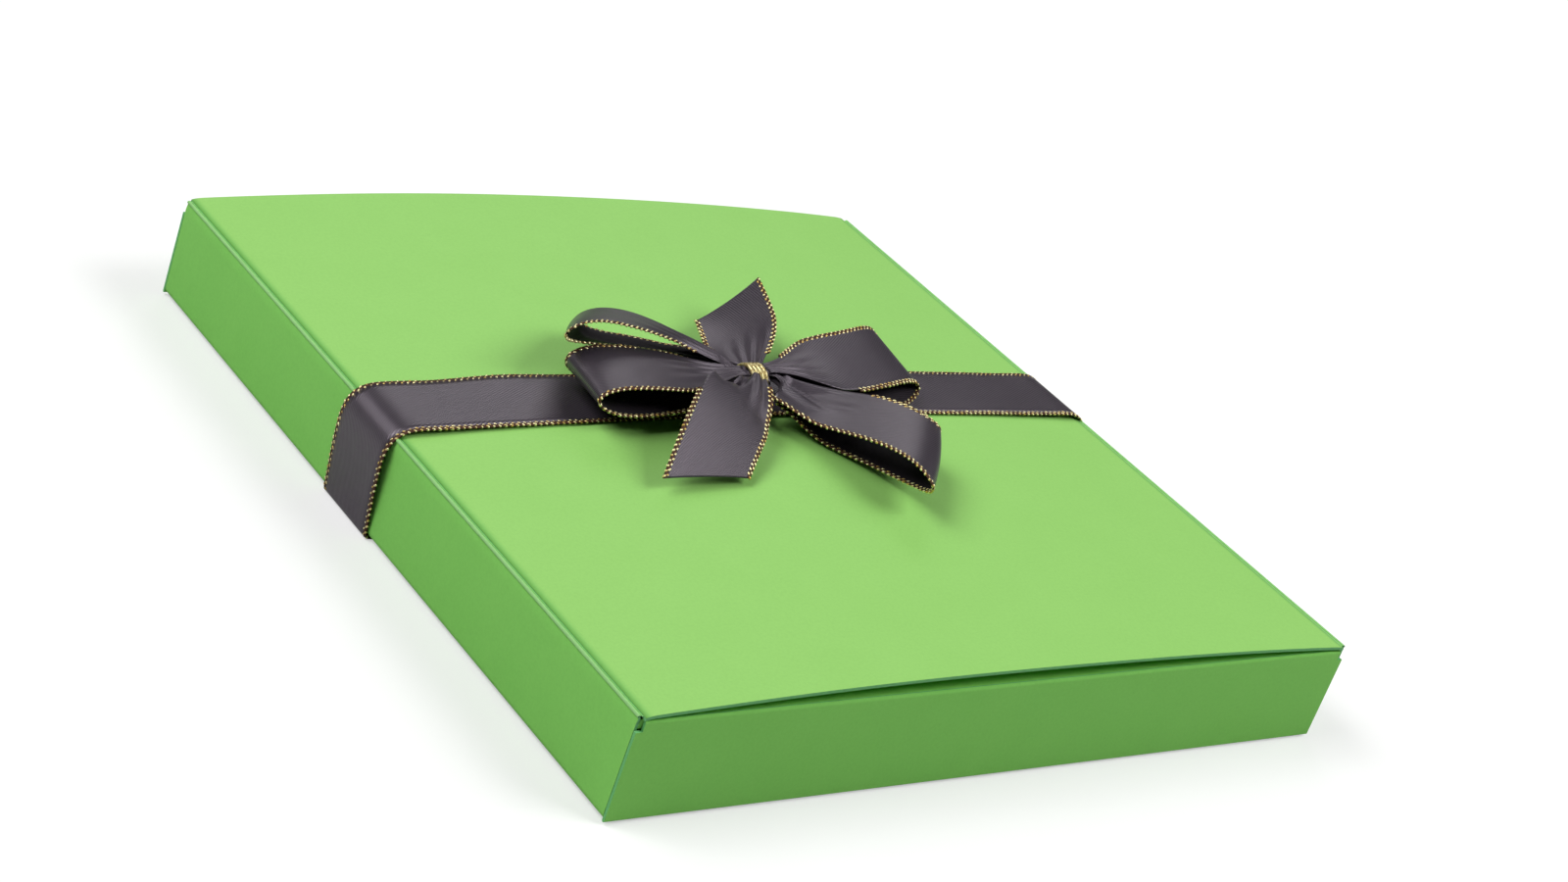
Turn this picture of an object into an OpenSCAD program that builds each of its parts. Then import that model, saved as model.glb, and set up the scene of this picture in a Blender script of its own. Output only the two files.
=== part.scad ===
// Flat gift box of creased card with tuck-in ends, a ribbon band and a ready-tied bow.
// Millimetres. Origin under the middle of the box, on the surface it rests on.
// X runs along the ribbon, Y from the near end to the far end, Z up.

/* [Box] */
// Width of the box, along the ribbon
box_w = 150; // [130:1:200]
// Length of the box, from closure to closure
box_l = 155; // [130:1:220]
// Height of the box at its side creases
box_h = 18.6; // [16:0.2:26]
// Thickness of the card
card_t = 0.55; // [0.4:0.05:0.7]
// Outside radius of the long creases
crease_r = 1.2; // [1:0.1:1.6]
// Rise of the bowed top panel at its middle
top_rise = 2.2; // [1.8:0.1:3.5]
// Height of the glue flap
glue_flap_h = 12; // [8:0.5:13]
// Distance of the glue flap's upright from each end of the bottom panel
glue_flap_setback = 8; // [6:0.5:20]
// Slant of the glue flap's ends, along the box
glue_flap_slant = 6; // [3:0.5:10]

/* [End flaps] */
// Depth of the tuck flaps
tuck_depth = 13; // [10:0.5:14]
// Radius of the tuck flaps' free corners
tuck_corner_r = 12; // [9:0.5:12.5]
// Width of the nick at each upper corner of a closure
nick_w = 1.2; // [0.8:0.1:2]
// Height of that nick
nick_h = 1.8; // [1:0.1:3]
// Reach of the dust flaps
dust_reach = 45; // [30:1:60]
// Height that the dust flaps lose along their sloping upper edge
dust_slope = 4; // [3:0.5:5]
// Chamfer of the dust flaps' free corners
dust_chamfer = 3; // [1:0.5:4]

/* [Ribbon] */
// Width of the satin between its gold edges
ribbon_w = 14.6; // [10:0.2:20]
// Thickness of the ribbon
ribbon_t = 0.35; // [0.3:0.05:0.5]
// Width of each gold edge
edging_w = 0.5; // [0.4:0.1:0.8]
// Inside radius of the band's folds round the lower edges of the box
band_fold_r = 0.3; // [0.2:0.05:0.35]
// Place of the band along the box, from its middle towards the far end
band_y = 5; // [-20:1:20]

/* [Bow] */
// Place of the knot along the ribbon, from the middle of the box
knot_x = -0.5; // [-10:0.5:10]
// Height of the knot's middle above the band
knot_rise = 3.8; // [3.4:0.1:5]
// Radius of the gathered waist
waist_r = 2.3; // [2.2:0.1:2.5]
// Length of the gathered waist
waist_l = 5.6; // [5.4:0.1:7]
// Turns of the gold binding cord
binding_turns = 4; // [3:1:4]
// Diameter of the gold binding cord
binding_d = 0.5; // [0.4:0.05:0.5]
// Step from turn to turn of the binding
binding_pitch = 0.95; // [0.92:0.01:1]
// Radius of the glue dot on the band
glue_r = 3.6; // [3:0.1:5]
// Thickness of the bow's ribbon
bow_t = 0.3; // [0.2:0.05:0.35]
// Width of the bow's ribbon where it is gathered
pinch_w = 3; // [2:0.2:3.4]
// Length over which the gathered ribbon opens to its full width
gather_l = 16; // [15:0.5:18]
// Height of the pleats in the gather
pleat_h = 0.2; // [0:0.05:0.25]
// Reach of the loops: upper left, lower left, upper right, lower right
loop_reach = [33, 37, 33.5, 34.5]; // [28:0.5:40]
// Height between the two layers of each loop
loop_height = [3.7, 4.3, 4, 3.2]; // [2.5:0.1:4.5]
// Swing of each loop towards the far end, from the line of the ribbon
loop_swing = [27, -2, 6, -47]; // [-60:1:60]
// Slope of each loop from the knot outwards
loop_lift = [2.5, 0.5, 0, -0.9]; // [-2:0.1:4]
// Tilt of the upper layer, far edge up
loop_tilt_top = [-27.5, -5, 19.5, 19.5]; // [-30:0.5:25]
// Tilt of the lower layer, far edge up
loop_tilt_under = [-20, 0, 1, 1]; // [-25:0.5:10]
// Height of each loop's root from the knot's middle
loop_seat = [1.07, -1.23, 1.83, -0.65]; // [-1.8:0.01:1.8]
// Swing of the near tail and the far tail towards the far end
tail_swing = [-47, 74]; // [-80:1:80]
// Length of each tail along its far or left edge
tail_long = [41, 12.5]; // [10:0.5:45]
// Length of each tail along its other edge
tail_short = [32.5, 26]; // [10:0.5:45]
// Height of each tail's root from the knot's middle
tail_seat = [2.21, -2.22]; // [-2.3:0.01:2.3]
// Height that each tail gains from its root to its end
tail_climb = [-5.6, 7.4]; // [-6:0.1:8]
// Hump of each tail half way along
tail_hump = [3.6, -2]; // [-3:0.1:5]

/* [Clearances] */
// Gap at each hinged crease
fold_gap = 0.06; // [0.04:0.01:0.1]
// Gap between the band and the card
band_gap = 0.12; // [0.1:0.01:0.2]
// Gap between the glue flap and the panel it is glued to
glue_gap = 0.04; // [0.02:0.01:0.08]
// Gap between a closure's shoulder and the top panel
tuck_gap = 0.35; // [0.3:0.05:0.5]
// Gap between a closure and the dust flaps behind it
dust_gap = 0.15; // [0.1:0.05:0.3]
// Room between the dust flaps and the tuck flap over them
dust_headroom = 1.6; // [1.4:0.1:2.5]
// Gap beside, above and below a flap that swings inside the tube
swing_gap = 0.3; // [0.2:0.05:0.5]
// Gap between the bow's pieces where they meet
bow_gap = 0.12; // [0.08:0.01:0.2]

/* [Hidden] */

$fn = 64;
// Facets of a whole circle as wide as the bowed top's
arch_fn = 1440;

CARD = [0.60, 0.82, 0.45];
SATIN = [0.30, 0.27, 0.31];
GOLD = [0.80, 0.68, 0.33];
GLUE = [0.92, 0.92, 0.88];

// Heights of the carton
base_z = ribbon_t + band_gap;
top_z = base_z + box_h;
hinge_z = base_z + card_t / 2;
tuck_z = top_z - 2 * card_t - tuck_gap;
raw_edge_z = base_z + 0.7 * crease_r;
dust_low_z = base_z + crease_r + swing_gap;
dust_high_z = tuck_z - dust_headroom;

// Bowed top: radius and centre height of its outer face
top_half_w = box_w / 2 - crease_r;
bow_r = (top_half_w * top_half_w + top_rise * top_rise) / (2 * top_rise);
bow_centre_z = top_z + top_rise - bow_r;

// Planes at an end of the carton, measured from the middle of its length
end_y = box_l / 2;
closure_in_y = end_y - card_t;
dust_out_y = closure_in_y - dust_gap;
side_end_y = dust_out_y - card_t;
bottom_end_y = closure_in_y - fold_gap;
glue_x = box_w / 2 - card_t - glue_gap;

// Knot and band
band_top_z = top_z + top_rise + band_gap + ribbon_t;
knot = [knot_x, band_y, band_top_z + knot_rise];
coil_r = waist_r + bow_gap / 2 + binding_d / 2;
bow_full_w = ribbon_w + 2 * edging_w;
root_x = waist_l / 2 + bow_gap;

// Bow strips: loops 0 to 3, then the near tail 4 and the far tail 5
LOOP_COUNT = 4;
strip_side = [-1, -1, 1, 1, -1, 1];
layer_gap = 0.8;
swing_l = 8;
tilt_from = 6;
tilt_l = 14;
edging_from = 7;
loop_steps = 30;
tail_steps = 16;
pleat_rows = [-1, -0.5, 0, 0.5, 1];
neck = 2.5;
neck_peak = max([for (k = [0:100]) sin(3.6 * k) * pow(sin(1.8 * k), neck)]);

// Binding cord
turn_rings = 24;
cord_sides = 6;

// Unit vector along a vector
function unit(a) = a / norm(a);
// Smooth step from 0 to 1
function ease(x) = let (c = min(max(x, 0), 1)) c * c * (3 - 2 * c);
// Value between two ends
function mix(a, b, f) = a + (b - a) * f;
// Length that a loop's or a tail's strip covers at its end, along one edge
function strip_end(i, v) =
    i < LOOP_COUNT ? loop_reach[i]
    : mix(tail_short[i - LOOP_COUNT], tail_long[i - LOOP_COUNT], (v + 1) / 2);
// Distance out from the knot at share f of a strip
function strip_out(i, f, v = 0) =
    i < LOOP_COUNT ? mix(root_x, loop_reach[i], pow(sin(180 * f), 2))
    : mix(root_x, strip_end(i, v), f);
// Height above the knot's middle at share f of a strip
function strip_up(i, f, v) =
    i < LOOP_COUNT
    ? loop_seat[i] + layer_gap / 2 * cos(180 * f) + strip_out(i, f) * tan(loop_lift[i])
        + loop_height[i] / 2 * sin(360 * f) * pow(sin(180 * f), neck) / neck_peak
    : let (
        k = i - LOOP_COUNT,
        g = (strip_out(i, f, v) - root_x) / (max(tail_long[k], tail_short[k]) - root_x)
    )
    tail_seat[k] + tail_climb[k] * g + tail_hump[k] * sin(180 * g);
// Swing and tilt at share f of a strip, in degrees
function strip_swing(i) = i < LOOP_COUNT ? loop_swing[i] : tail_swing[i - LOOP_COUNT];
function strip_tilt(i, f) = i < LOOP_COUNT ? mix(loop_tilt_top[i], loop_tilt_under[i], f) : 0;
// Half width of the gathered ribbon at a distance from the knot
function half_w(out) = mix(pinch_w, ribbon_w, ease((out - root_x) / gather_l)) / 2;
// Depth of the pleats at a distance from the knot
function pleat(out) =
    let (u = min(max((out - root_x) / gather_l, 0), 1)) pleat_h * 4 * u * (1 - u);
// Point of a strip's middle surface: share f along it, v from -1 to 1 across it, plus a reach past the edge
function strip_point(i, f, v, past = 0) =
    let (
        out = strip_out(i, f, v),
        a = strip_swing(i) * ease((out - root_x) / swing_l),
        s = strip_side[i],
        ahead = [s * cos(a), sin(a), 0],
        across = [-s * sin(a), cos(a), 0],
        tilt = strip_tilt(i, f) * ease((out - tilt_from) / tilt_l),
        reach = v * half_w(out) + past
    )
    knot + ahead * out + [0, 0, strip_up(i, f, v)]
        + (across * cos(tilt) + [0, 0, sin(tilt)]) * reach
        + [0, 0, 1] * pleat(out) * cos(360 * v) * cos(180 * f);
// Unit vector across a strip, and the one square to its face
function strip_across(i, f) = unit(strip_point(i, f, 1) - strip_point(i, f, -1));
function strip_normal(i, f) =
    let (d = 0.004, ahead = strip_point(i, min(f + d, 1), 0) - strip_point(i, max(f - d, 0), 0))
    unit(cross(ahead, strip_across(i, f))) * strip_side[i];
// Shares of a strip's length at which it has a section
function strip_shares(i) =
    let (n = i < LOOP_COUNT ? loop_steps : tail_steps) [for (k = [0:n]) k / n];
// Shares of a strip's length at which its gold edges have a section
function edging_shares(i) =
    [for (f = strip_shares(i)) if (min(strip_out(i, f, -1), strip_out(i, f, 1)) >= edging_from) f];
// Middle of the binding cord at share f of its winding
function cord_point(f) =
    let (a = -90 + 360 * binding_turns * f)
    knot + [binding_pitch * binding_turns * (f - 0.5), coil_r * cos(a), coil_r * sin(a)];
// Route of the binding cord, with a straight end one diameter long at each side
cord_shares = [for (k = [0:binding_turns * turn_rings]) k / (binding_turns * turn_rings)];
cord_route = concat(
    [cord_point(0) - unit(cord_point(0.001) - cord_point(0)) * binding_d],
    [for (f = cord_shares) cord_point(f)],
    [cord_point(1) + unit(cord_point(1) - cord_point(0.999)) * binding_d]
);
// Least gap of the binding cord to itself, between points a third of a turn apart or more
cord_gap = min([
    for (i = [0:len(cord_route) - 1])
        for (j = [i + turn_rings / 3:len(cord_route) - 1])
            norm(cord_route[i] - cord_route[j])
]) - binding_d;
echo("least gap of the binding cord to itself, mm", cord_gap);

// Profile in the XZ plane, drawn out along Y
module along_y(from, to) {
    translate([0, to, 0])
        rotate([90, 0, 0])
            linear_extrude(to - from) children();
}

// Profile in the YZ plane, drawn out along X
module along_x(from, to) {
    translate([from, 0, 0])
        rotate([90, 0, 90])
            linear_extrude(to - from) children();
}

// Quarter of a bent sheet, its centre at the origin, turned by a number of degrees
module crease_bend(turn) {
    rotate(turn)
        intersection() {
            difference() {
                circle(crease_r);
                circle(crease_r - card_t);
            }
            square(crease_r);
        }
}

// Solid made of rings with the same number of points, closed at both ends
module lofted(rings) {
    count = len(rings[0]);
    last = len(rings) - 1;
    sides = [
        for (i = [0:last - 1])
            for (j = [0:count - 1])
                let (a = i * count + j, b = i * count + (j + 1) % count)
                    each [[a, b, b + count], [a, b + count, a + count]]
    ];
    start_cap = [for (j = [1:count - 2]) each cap_faces(0, j, count)];
    end_cap = [for (j = [1:count - 2]) each [for (t = cap_faces(last * count, j, count)) [t[2], t[1], t[0]]]];
    polyhedron(points = [for (r = rings) each r], faces = concat(sides, start_cap, end_cap));
}

// Triangle j of a ring's cap: a strip of triangles between the ring's two halves
function cap_faces(first, j, count) =
    let (
        k = floor((j - 1) / 2),
        a = first + k,
        b = first + count - 1 - k
    )
    j % 2 == 1 ? [[b, a + 1, a]] : [[b, b - 1, a + 1]];

// Ring of a strip's section: its upper points one way, then its lower points back
function strip_ring(i, f) =
    let (n = strip_normal(i, f) * bow_t / 2, last = len(pleat_rows) - 1)
    concat(
        [for (v = pleat_rows) strip_point(i, f, v) + n],
        [for (k = [last:-1:0]) strip_point(i, f, pleat_rows[k]) - n]
    );

// Ring of a gold edge's section, beside the edge v of a strip
function edging_ring(i, f, v) =
    let (
        n = strip_normal(i, f) * edging_w / 2,
        near = strip_point(i, f, v, v * bow_gap / 2),
        far = strip_point(i, f, v, v * (bow_gap / 2 + edging_w))
    )
    v > 0 ? [near + n, far + n, far - n, near - n] : [far + n, near + n, near - n, far - n];

module bow_strip(i) {
    rings = [for (f = strip_shares(i)) strip_ring(i, f)];
    color(SATIN) lofted(strip_side[i] > 0 ? rings : [for (r = rings) [for (k = [len(r) - 1:-1:0]) r[k]]]);
}

module strip_edging(i) {
    color(GOLD)
        for (v = [-1, 1]) {
            rings = [for (f = edging_shares(i)) edging_ring(i, f, v)];
            lofted(strip_side[i] > 0 ? rings : [for (r = rings) [for (k = [3:-1:0]) r[k]]]);
        }
}

module bottom_panel() {
    color(CARD)
        translate([-top_half_w, -bottom_end_y, base_z])
            cube([glue_x - crease_r + top_half_w, 2 * bottom_end_y, card_t]);
}

// Round nose on an end of a side panel, where its dust flap is creased
module dust_nose(x) {
    translate([x, side_end_y, dust_low_z])
        intersection() {
            cylinder(r = card_t, h = dust_high_z - dust_low_z);
            translate([x < 0 ? -card_t : 0, 0, 0])
                cube([card_t, card_t, dust_high_z - dust_low_z]);
        }
}

module left_side_panel() {
    color(CARD) {
        along_y(-side_end_y, side_end_y) {
            translate([-box_w / 2, base_z + crease_r]) square([card_t, box_h - 2 * crease_r]);
            translate([-top_half_w, top_z - crease_r]) crease_bend(90);
            translate([-top_half_w, base_z + crease_r]) crease_bend(180);
        }
        for (m = [0, 1]) mirror([0, m, 0]) dust_nose(-box_w / 2 + card_t);
    }
}

module right_side_panel() {
    color(CARD) {
        along_y(-side_end_y, side_end_y) {
            translate([box_w / 2 - card_t, raw_edge_z]) square([card_t, top_z - crease_r - raw_edge_z]);
            translate([top_half_w, top_z - crease_r]) crease_bend(0);
        }
        for (m = [0, 1]) mirror([0, m, 0]) dust_nose(box_w / 2 - card_t);
    }
}

module top_panel() {
    color(CARD)
        along_y(-end_y, end_y)
            intersection() {
                translate([0, bow_centre_z])
                    difference() {
                        circle(bow_r, $fn = arch_fn);
                        circle(bow_r - card_t, $fn = arch_fn);
                    }
                translate([-top_half_w, top_z - 2 * card_t]) square([2 * top_half_w, top_rise + 4 * card_t]);
            }
}

module glue_flap() {
    upright_l = bottom_end_y - glue_flap_setback;
    color(CARD) {
        along_y(-bottom_end_y + glue_flap_setback / 2, bottom_end_y - glue_flap_setback / 2)
            translate([glue_x - crease_r, base_z + crease_r]) crease_bend(270);
        along_x(glue_x - card_t, glue_x)
            polygon([
                [-upright_l, base_z + crease_r],
                [upright_l, base_z + crease_r],
                [upright_l - glue_flap_slant, base_z + glue_flap_h],
                [-upright_l + glue_flap_slant, base_z + glue_flap_h]
            ]);
    }
}

// Closure at the far end: a panel with a round hinge edge below and a round shoulder above
module closure_panel() {
    color(CARD)
        difference() {
            along_x(-box_w / 2, box_w / 2) {
                translate([closure_in_y, hinge_z]) square([card_t, tuck_z - hinge_z]);
                translate([closure_in_y + card_t / 2, hinge_z]) circle(card_t / 2);
                translate([closure_in_y, tuck_z])
                    intersection() {
                        circle(card_t);
                        square(card_t);
                    }
            }
            for (s = [-1, 1])
                translate([s * box_w / 2, end_y, tuck_z + card_t])
                    cube([2 * nick_w, 4 * card_t, 2 * nick_h], center = true);
        }
}

// Tuck flap at the far end, with round free corners
module tuck_flap() {
    half = box_w / 2 - nick_w - swing_gap;
    front = closure_in_y - fold_gap;
    back = end_y - tuck_depth;
    color(CARD)
        translate([0, 0, tuck_z])
            linear_extrude(card_t)
                intersection() {
                    union() {
                        translate([-half, back + tuck_corner_r]) square([2 * half, tuck_depth]);
                        translate([-half + tuck_corner_r, back])
                            square([2 * (half - tuck_corner_r), tuck_depth]);
                        for (s = [-1, 1])
                            translate([s * (half - tuck_corner_r), back + tuck_corner_r])
                                circle(tuck_corner_r);
                    }
                    translate([-half, back]) square([2 * half, front - back]);
                }
}

// Dust flap at the left of the far end, sloping to its chamfered free edge
module dust_flap() {
    root = -box_w / 2 + card_t + fold_gap;
    tip = -box_w / 2 + dust_reach;
    color(CARD)
        along_y(side_end_y, dust_out_y)
            polygon([
                [root, dust_low_z],
                [tip - dust_chamfer, dust_low_z],
                [tip, dust_low_z + dust_chamfer],
                [tip, dust_high_z - dust_slope - dust_chamfer],
                [tip - dust_chamfer, dust_high_z - dust_slope],
                [root, dust_high_z]
            ]);
}

// Section of the wrapped box, grown outwards, with tight folds below and crease-round ones above
module wrap_section(grow) {
    half = box_w / 2 + grow;
    low = base_z - grow;
    fold_r = band_fold_r + grow - band_gap;
    for (s = [-1, 1]) {
        translate([s * top_half_w, top_z - crease_r]) circle(crease_r + grow);
        translate([s * (half - fold_r), low + fold_r]) circle(fold_r);
    }
    translate([-half, low + fold_r]) square([2 * half, top_z - crease_r - low - fold_r]);
    translate([-half + fold_r, low]) square([2 * (half - fold_r), box_h]);
    intersection() {
        translate([0, bow_centre_z]) circle(bow_r + grow, $fn = arch_fn);
        translate([-top_half_w, top_z - crease_r]) square([2 * top_half_w, crease_r + top_rise + 2 * grow]);
    }
}

// Ribbon's run round the box between two places along it
module wrap(from, to) {
    along_y(from, to)
        difference() {
            wrap_section(band_gap + ribbon_t);
            wrap_section(band_gap);
        }
}

module ribbon_band() {
    color(SATIN) wrap(band_y - ribbon_w / 2, band_y + ribbon_w / 2);
}

module band_edging() {
    color(GOLD) {
        wrap(band_y - ribbon_w / 2 - edging_w, band_y - ribbon_w / 2);
        wrap(band_y + ribbon_w / 2, band_y + ribbon_w / 2 + edging_w);
    }
}

// Gathered waist, flared where the loops leave it
module bow_waist() {
    flare_l = (waist_l - binding_pitch * binding_turns - binding_d) / 2;
    flare_h = coil_r - waist_r;
    color(SATIN)
        translate(knot)
            rotate([0, 90, 0])
                rotate_extrude()
                    polygon([
                        [0, -waist_l / 2],
                        [waist_r + flare_h, -waist_l / 2],
                        [waist_r, -waist_l / 2 + flare_l],
                        [waist_r, waist_l / 2 - flare_l],
                        [waist_r + flare_h, waist_l / 2],
                        [0, waist_l / 2]
                    ]);
}

// Gold cord wound round the waist as one unbroken tube
module binding_cord() {
    last = len(cord_route) - 1;
    rings = [
        for (i = [0:last])
            let (
                ahead = unit(cord_route[min(i + 1, last)] - cord_route[max(i - 1, 0)]),
                out = unit(cord_route[i] - [cord_route[i][0], knot[1], knot[2]]),
                beside = unit(cross(ahead, out)),
                up = cross(beside, ahead)
            )
            [
                for (k = [0:cord_sides - 1])
                    let (a = -360 * k / cord_sides)
                        cord_route[i] + (beside * cos(a) + up * sin(a)) * binding_d / 2
            ]
    ];
    color(GOLD) lofted(rings);
}

// Glue dot between the band and the underside of the winding
module glue_dot() {
    height = knot_rise - coil_r - binding_d / 2 - bow_gap;
    color(GLUE)
        translate([knot[0], knot[1], band_top_z])
            cylinder(r1 = glue_r, r2 = waist_r, h = height);
}

module upper_left_loop() { bow_strip(0); }
module lower_left_loop() { bow_strip(1); }
module upper_right_loop() { bow_strip(2); }
module lower_right_loop() { bow_strip(3); }
module near_tail() { bow_strip(4); }
module far_tail() { bow_strip(5); }
module upper_left_edging() { strip_edging(0); }
module lower_left_edging() { strip_edging(1); }
module upper_right_edging() { strip_edging(2); }
module lower_right_edging() { strip_edging(3); }
module near_tail_edging() { strip_edging(4); }
module far_tail_edging() { strip_edging(5); }

module far_closure_panel() { closure_panel(); }
module far_tuck_flap() { tuck_flap(); }
module far_left_dust_flap() { dust_flap(); }
module far_right_dust_flap() { mirror([1, 0, 0]) dust_flap(); }
module near_closure_panel() { mirror([0, 1, 0]) closure_panel(); }
module near_tuck_flap() { mirror([0, 1, 0]) tuck_flap(); }
module near_left_dust_flap() { mirror([0, 1, 0]) dust_flap(); }
module near_right_dust_flap() { mirror([0, 1, 0]) mirror([1, 0, 0]) dust_flap(); }

bottom_panel();
left_side_panel();
right_side_panel();
top_panel();
glue_flap();
near_closure_panel();
near_tuck_flap();
near_left_dust_flap();
near_right_dust_flap();
far_closure_panel();
far_tuck_flap();
far_left_dust_flap();
far_right_dust_flap();
ribbon_band();
band_edging();
upper_left_loop();
lower_left_loop();
upper_right_loop();
lower_right_loop();
near_tail();
far_tail();
upper_left_edging();
lower_left_edging();
upper_right_edging();
lower_right_edging();
near_tail_edging();
far_tail_edging();
bow_waist();
binding_cord();
glue_dot();
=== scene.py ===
"""Looks of a flat green card gift box with a gold-edged satin ribbon and a ready-tied bow.

Lengths in the size fields are millimetres in the part's own frame; meshes are written in metres.
"""

import logging
import math
from dataclasses import dataclass, field
from enum import Enum, IntEnum
from typing import ClassVar, NamedTuple, Sequence

import bpy
import numpy as np
from mathutils import Matrix, Vector


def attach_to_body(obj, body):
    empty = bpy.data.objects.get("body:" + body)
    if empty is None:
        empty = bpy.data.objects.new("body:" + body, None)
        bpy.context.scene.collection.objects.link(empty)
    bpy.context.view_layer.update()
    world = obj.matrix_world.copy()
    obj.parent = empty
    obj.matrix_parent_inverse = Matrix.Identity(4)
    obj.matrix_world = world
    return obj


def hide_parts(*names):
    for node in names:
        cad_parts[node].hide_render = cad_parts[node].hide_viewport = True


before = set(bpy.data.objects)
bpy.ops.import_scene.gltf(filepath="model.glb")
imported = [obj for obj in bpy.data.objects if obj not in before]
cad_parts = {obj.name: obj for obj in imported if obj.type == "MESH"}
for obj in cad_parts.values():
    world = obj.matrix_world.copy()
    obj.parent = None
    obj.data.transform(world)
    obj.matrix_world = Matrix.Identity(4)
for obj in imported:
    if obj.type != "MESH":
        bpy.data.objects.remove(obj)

MM = 0.001
WHITE = (1.0, 1.0, 1.0, 1.0)
RIBBON_MAP = "ribbon"
LOG = logging.getLogger("gift_box")

Colour = tuple[float, float, float, float]
Stops = tuple[tuple[float, Colour], ...]
Socket = bpy.types.NodeSocket
Face = tuple[int, ...]


class Slot(Enum):
    """Material slots of the record."""

    CARD = "green_card"
    SATIN = "grey_satin"
    GOLD = "gold_thread"


class Body(Enum):
    """Bodies that new pieces ride on."""

    SLEEVE = "sleeve"
    RIBBON = "ribbon"


class Hold(Enum):
    """How a sheet of ribbon is held."""

    STRETCHED = "stretched"
    GATHERED = "gathered"


class Axis(Enum):
    """Axis of the part's frame."""

    X = 0
    Y = 1
    Z = 2


class Side(IntEnum):
    """Side of the box, as the sign of its X."""

    LEFT = -1
    RIGHT = 1


class End(IntEnum):
    """End of the box or edge of the ribbon, as the sign of its Y."""

    NEAR = -1
    FAR = 1


class FaceKind(IntEnum):
    """Faces of a thin sheet, in the order of a card sheet's materials."""

    UPPER = 0
    RIM = 1
    LOWER = 2


class StripFace(IntEnum):
    """Faces of a bow strip, in the order of its materials."""

    SATIN = 0
    CUT = 1
    BACK = 2


class StitchRow(IntEnum):
    """Rows of gold stitches along an edge of ribbon."""

    INNER = 0
    OUTER = 1


class Blend(Enum):
    """How one colour is laid over another."""

    MIX = "MIX"
    MULTIPLY = "MULTIPLY"


def smooth(x: np.ndarray | float) -> np.ndarray | float:
    """Smooth step from 0 to 1 over the unit range."""
    c = np.clip(x, 0.0, 1.0)
    return c * c * (3.0 - 2.0 * c)


def unit(a: np.ndarray) -> np.ndarray:
    """Vectors along the last axis, brought to length 1."""
    return a / np.maximum(np.linalg.norm(a, axis=-1, keepdims=True), 1e-9)


def distances(line: np.ndarray) -> np.ndarray:
    """Distance of each point of a line from its first point, measured along the line."""
    return np.concatenate([[0], np.cumsum(np.linalg.norm(np.diff(line, axis=0), axis=1))])


def read_at(table: np.ndarray, run: np.ndarray, places: np.ndarray) -> np.ndarray:
    """Table with a row for each distance in run, read at other distances."""
    return np.stack([np.interp(places, run, column) for column in table.T], -1)


def srgb(red: float, green: float, blue: float) -> Colour:
    """Linear colour of an sRGB colour in 0 to 255.

    Args:
        red: Red share.
        green: Green share.
        blue: Blue share.

    Returns:
        The linear colour with full alpha.
    """
    shares = (c / 255 for c in (red, green, blue))
    return (*(((c + 0.055) / 1.055) ** 2.4 if c > 0.0404 else c / 12.92 for c in shares), 1.0)


def shade(colour: Colour, share: float) -> Colour:
    """Colour darkened to a share of its light."""
    return (*(share * c for c in colour[:3]), 1.0)


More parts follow.
